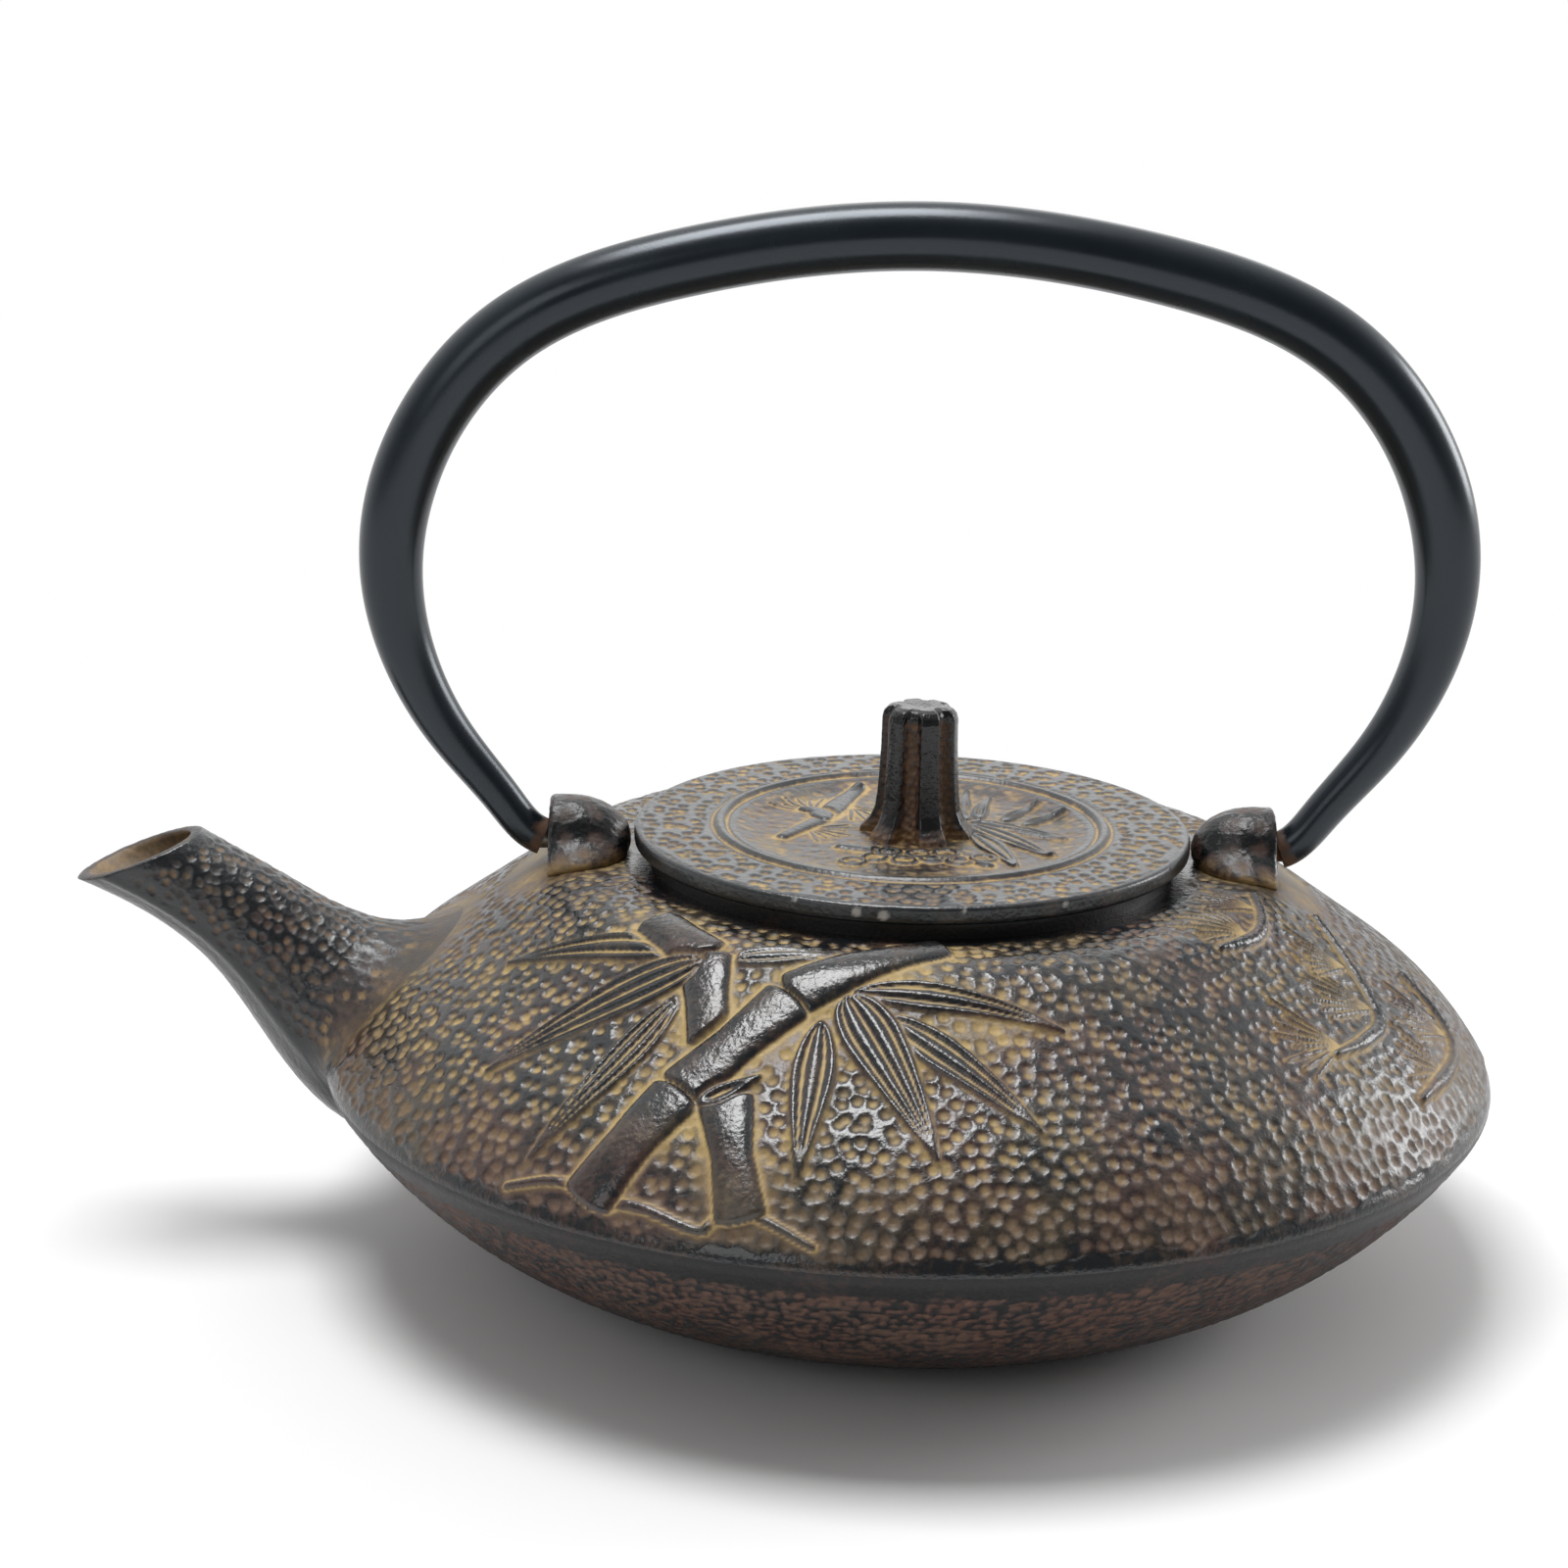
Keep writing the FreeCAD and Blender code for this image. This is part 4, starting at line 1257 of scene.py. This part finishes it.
lid_iron = lacquered_iron(
    "dusty_cast_iron", "#1C2124", "#4C4236", "#BA9C60", gloss=0.28, dullness=0.55, blotch=5.0
)

lid_side = [
    (lid_radius - 0.4, lid_underside), (lid_radius, lid_underside + 0.4),
    (lid_radius, lid_top - lid_rounding), (lid_radius - 0.15, lid_top - 0.15),
    (lid_radius - lid_rounding, lid_top),
]
lid_face = [
    (lid_radius - lid_rounding - 0.25, lid_top), (dish_rim + 0.4, lid_top), (dish_rim - 0.4, lid_top - 0.1),
    (dish_floor_radius + 0.4, dish_floor + 0.08), (dish_floor_radius - 0.6, dish_floor), (3.0, dish_floor),
]
lid_path = np.vstack([evenly(lid_side, lid_side_step), evenly(lid_face, lid_step)])
lid_rings = turned(lid_path, lid_columns)
dish = Carving(lid_rings[..., 0], lid_rings[..., 1])
for leaf_base, leaf_tip, half_width in (
    ((8.0, 4.5), (19.6, -3.1), 1.5), ((7.9, 2.8), (17.6, -11.8), 1.6), ((7.9, -1.4), (12.6, -16.1), 1.5),
    ((7.3, 5.3), (8.0, 18.5), 0.9), ((9.0, 5.9), (10.8, 16.0), 0.8), ((12.0, 4.8), (17.2, 12.8), 0.8),
    ((14.6, 3.0), (20.4, 8.6), 0.8),
):
    dish.leaf(leaf_base, leaf_tip, half_width, bend=0.4, ribs=3, height=0.7)
dish.fan((-7.5, 11.2), 285, 50, 7.5, count=7, height=0.3)
dish.fan((-13.2, 0.5), 330, 50, 6.5, count=7, height=0.3)
dish.fan((-12.8, 8.8), 120, 45, 6.0, count=6, height=0.3)
for branch in (
    [(-6.4, 19.4), (-8.4, 14.7), (-9.9, 10.2), (-11.1, 4.9), (-13.2, 1.9), (-16.5, -3.9)],
    [(-11.1, 4.9), (-11.8, 8.3), (-13.7, 9.1)],
    [(-9.0, -8.0), (-4.5, -9.2), (0.5, -12.6), (6.0, -12.4), (9.0, -15.0)],
):
    dish.ridge(bent(branch), (0.9, 1.6, 1.3, 0.9), height=0.95, halo=1.0, flatness=2.0, grain=0.08)
around = np.radians(np.arange(0, 390, 30))
petal_line = petal_radius * np.stack([np.cos(around), np.sin(around)], -1)
for petal in (
    (-5.0, -12.5), (-1.3, -13.6), (2.2, -12.6), (5.6, -13.6), (-3.1, -10.1), (0.6, -10.6), (4.0, -10.2),
    (-7.8, -14.4), (8.6, -12.2),
):
    dish.ridge(petal + petal_line, (0.36, 0.36), height=0.7, halo=0.5, flatness=2)
radius = lid_path[:, :1]
bead = np.sqrt(np.clip(1 - ((radius - bead_radius) / bead_half_width) ** 2, 0, 1))
crease = eased(1 - np.abs(np.abs(radius - bead_radius) - bead_half_width - 0.25) / 0.5)
border = eased((radius - border_inner) / 0.5) * eased((border_outer - radius) / 0.4)
inside = eased((dish_rim - radius) / 1.0)
turn = circled(lid_columns)
lid_shape = lid_rings.shape[:2]
chipped = np.zeros(lid_shape)
for across, rise, size in chips:
    chip = (across, -math.sqrt(lid_radius ** 2 - across ** 2), rise)
    chipped = np.maximum(chipped, eased((size - np.linalg.norm(lid_rings - chip, axis=2)) / chip_edge))
relief, gold, pitted = dish.grids(lid_shape)
relief = relief * inside + bead_rise * bead - crease_depth * crease + border_rise * border
top = skin("lid_top", lid_rings, caps=("end",))
mark(
    top,
    relief=relief * eased((lid_path[:, 1:] - lid_top + 1.2) / 0.6) * MM,
    pitted=border + 0.3 * pitted * inside,
    gold=(gold + 0.35 * pitted) * inside + 0.9 * crease,
    gilt=1.0 - 0.5 * border * np.exp(-(turn / 0.3) ** 2),
    chipped=chipped,
)
lid_pits = pit_rows(lid_rings[lid_side_rows:], lid_pit_spacing, lid_pit_straying, seed=9)
cast(top, lid_pits, lid_iron, depth=lid_pit_depth, grain_depth=0.09)
underside_path = np.array([
    (2.0, lid_middle), (skirt_inner - 0.5, lid_middle), (skirt_inner, lid_middle - 0.5),
    (skirt_inner, skirt_foot + 0.3), (skirt_inner + 0.3, skirt_foot), (skirt_outer - 0.3, skirt_foot),
    (skirt_outer, skirt_foot + 0.3), (skirt_outer, lid_underside - 0.4), (skirt_outer + 0.4, lid_underside),
    (lid_radius - 0.4, lid_underside),
])
underside_rings = turned(evenly(underside_path, underside_step), underside_columns)
under = skin("lid_underside", underside_rings, caps=("start",))
cast_plain(under, lining_iron, gold=0.0, gilt=0.4, grain=1.2, grain_depth=0.06)
for piece in (top, under):
    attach(piece, "lid")
    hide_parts("lid")

# Knob of the lid
# A separate casting like a lobed bud: six ribs with broad grooves between them, spread toes at its foot
# and a low domed cap. Its spigot goes through the lid and is hammered over below.

knob_offset = 0.7
knob_lobes = 6
knob_groove = 0.8
knob_turn = math.radians(15)
knob_foot = 55.0
knob_top = 71.8
knob_step = 0.2
knob_columns = 360
knob_pit_spacing = 1.0
knob_pit_straying = 0.35
knob_pit_radius = 0.6
knob_pit_depth = 0.2
head_columns = 64
head_radius = 3.4
head_foot = 51.0

knob_iron = lacquered_iron(
    "burnished_cast_iron", "#0C0E10", "#34261E", "#7E613A", gloss=0.22, dullness=0.7, shine=0.6, speck=0.6
)

knob_path = evenly([
    (7.6, knob_foot - 0.3), (7.2, knob_foot + 0.6), (6.1, knob_foot + 1.8), (5.5, knob_foot + 3.2),
    (5.25, knob_foot + 5.0), (5.05, knob_foot + 8.0), (4.9, knob_foot + 11.0), (4.85, knob_top - 3.2),
    (4.85, knob_top - 1.7), (4.65, knob_top - 0.9), (4.1, knob_top - 0.3), (3.2, knob_top),
    (1.6, knob_top - 0.1), (0.5, knob_top - 0.2),
], knob_step)
turn = circled(knob_columns)
lobe = eased((np.cos(knob_lobes * (turn - knob_turn)) + 0.75) / 1.0)
height = knob_path[:, 1:]
depth = (1 - knob_groove) * (1 + 0.5 * eased((knob_foot + 2.5 - height) / 2.5))
girth = knob_path[:, :1] * (1 - depth * (1 - lobe))
knob_rings = np.stack([knob_offset + girth * np.sin(turn), -girth * np.cos(turn), height + 0 * turn], -1)
knob = skin("lid_knob_cast", knob_rings, caps=("start", "end"))
groove = (1 - lobe) * eased((knob_top - 1.0 - height) / 1.0)
toes = eased((knob_foot + 2.4 - height) / 2.0)
mark(
    knob,
    relief=0.0,
    pitted=0.9 * groove + 0.5 * toes,
    gold=0.45 * groove + 0.35 * toes,
    gilt=0.35 + 0.6 * toes + 0 * turn,
)
knob_pits = pit_rows(knob_rings, knob_pit_spacing, knob_pit_straying, seed=10)
cast(knob, knob_pits, knob_iron, radius=knob_pit_radius, depth=knob_pit_depth, grain=0.6, grain_depth=0.1)
head_path = np.array([
    (0.4, head_foot), (head_radius - 1.2, head_foot + 0.1), (head_radius - 0.3, head_foot + 0.45),
    (head_radius, head_foot + 0.8), (head_radius, lid_middle),
])
head = skin("lid_knob_head", turned(head_path, head_columns) + (knob_offset, 0, 0), caps=("start", "end"))
cast_plain(head, knob_iron, gold=0.1, gilt=0.3, grain=1.0, grain_depth=0.15)
for piece in (knob, head):
    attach(piece, "lid")
    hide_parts("lid_knob")

# Studio
# A plain white floor, soft light from a panel overhead and weaker ones at the right, behind and at the
# front, and the camera where the photographer stood. Lengths are in metres but for the camera's place.

camera_place = (-16.50, -423.67, 177.26)
camera_pitch = math.radians(15.349)
camera_roll = math.radians(1.095)
camera_lens = 78.75
floor_reach = 6.0
shadow_start = 0.09
plain_start = 0.2


def whitened(tree, share, surface, kind, end):
    """Lay plain white over what a tree ends with, by a share."""
    white = add(tree, kind, {}, {"Color": linear("#FFFFFF"), "Strength": 1.0}).outputs[0]
    mixed = add(tree, "ShaderNodeMixShader", {}, {0: share, 1: surface, 2: white}).outputs[0]
    fill(tree, tree.nodes[end], {"Surface": mixed})


def white_paper(name):
    """Matt white paper that keeps the shadow near the pot and runs out to plain white."""
    material, tree, shader, place = started(name)
    fill(tree, shader, {"Base Color": linear("#F4F4F4"), "Roughness": 0.9, "Specular IOR Level": 0.0})
    apart = add(tree, "ShaderNodeVectorMath", {"operation": "LENGTH"}, {0: place}).outputs["Value"]
    fading = {0: apart, 1: shadow_start, 2: plain_start}
    far = add(tree, "ShaderNodeMapRange", {"interpolation_type": "SMOOTHSTEP"}, fading)
    ray = add(tree, "ShaderNodeLightPath").outputs
    seen = reckon(tree, "MAXIMUM", ray["Is Camera Ray"], ray["Is Glossy Ray"])
    seen = reckon(tree, "MAXIMUM", seen, ray["Is Transmission Ray"])
    plain = reckon(tree, "MULTIPLY", far.outputs[0], seen)
    whitened(tree, plain, shader.outputs[0], "ShaderNodeEmission", "Material Output")
    return material


paper = bpy.data.meshes.new("paper")
corners = [(x * floor_reach, y * floor_reach, 0) for x, y in ((-1, -1), (1, -1), (1, 1), (-1, 1))]
paper.from_pydata(corners, [], [(0, 1, 2, 3)])
paper.materials.append(white_paper("matt_white_paper"))
floor = placed("paper", paper)

world = bpy.data.worlds.new("studio")
world.use_nodes = True
tree = world.node_tree
room = tree.nodes["Background"]
way = add(tree, "ShaderNodeTexCoord").outputs["Generated"]
depth = add(tree, "ShaderNodeSeparateXYZ", {}, {0: way}).outputs["Y"]
fill(tree, room, {"Color": linear("#F2F2F2"), "Strength": ranged(tree, depth, -0.7, 0.7, 0.15, 0.85)})
ray = add(tree, "ShaderNodeLightPath").outputs
seen = reckon(tree, "MAXIMUM", ray["Is Camera Ray"], ray["Is Transmission Ray"])
mirrored = reckon(tree, "MULTIPLY", ray["Is Glossy Ray"], ranged(tree, depth, -0.2, 0.5))
seen = reckon(tree, "MAXIMUM", seen, mirrored)
whitened(tree, seen, room.outputs[0], "ShaderNodeBackground", "World Output")
bpy.context.scene.world = world


def stood(piece, place, right, up, back):
    """Put a piece at a place, with its own axes to the right, up and back."""
    axes = Matrix(np.stack([right, up, back], -1).tolist())
    piece.matrix_world = Matrix.Translation(place) @ axes.to_4x4()


for name, watts, size, place, target in (
    ("panel_overhead", 7.0, 0.45, (-0.12, 0.05, 0.95), (0.0, 0.0, 0.05)),
    ("panel_right", 2.6, 0.35, (0.75, 0.3, 0.3), (0.0, 0.0, 0.04)),
    ("panel_back", 0.8, 0.6, (0.1, 1.0, 0.45), (0.0, 0.0, 0.05)),
    ("panel_front", 1.2, 0.5, (-0.6, -0.85, 0.6), (0.0, 0.0, 0.05)),
):
    lamp = bpy.data.lights.new(name, "AREA")
    lamp.energy = watts
    lamp.size = size
    back = np.array(place) - np.array(target)
    back /= np.linalg.norm(back)
    right = np.cross((0.0, 1.0, 0.0), back)
    right /= np.linalg.norm(right)
    stood(placed(name, lamp), place, right, np.cross(back, right), back)

lens = bpy.data.cameras.new("camera")
lens.lens = camera_lens
lens.sensor_width = 36.0
lens.clip_start = 0.01
camera = placed("camera", lens)
back = np.array([0.0, -math.cos(camera_pitch), math.sin(camera_pitch)])
up = np.array([0.0, math.sin(camera_pitch), math.cos(camera_pitch)])
across = np.array([1.0, 0.0, 0.0])
right = math.cos(camera_roll) * across + math.sin(camera_roll) * up
up = math.cos(camera_roll) * up - math.sin(camera_roll) * across
stood(camera, np.array(camera_place) * MM, right, up, back)
bpy.context.scene.camera = camera
bpy.context.scene.view_settings.view_transform = "Standard"
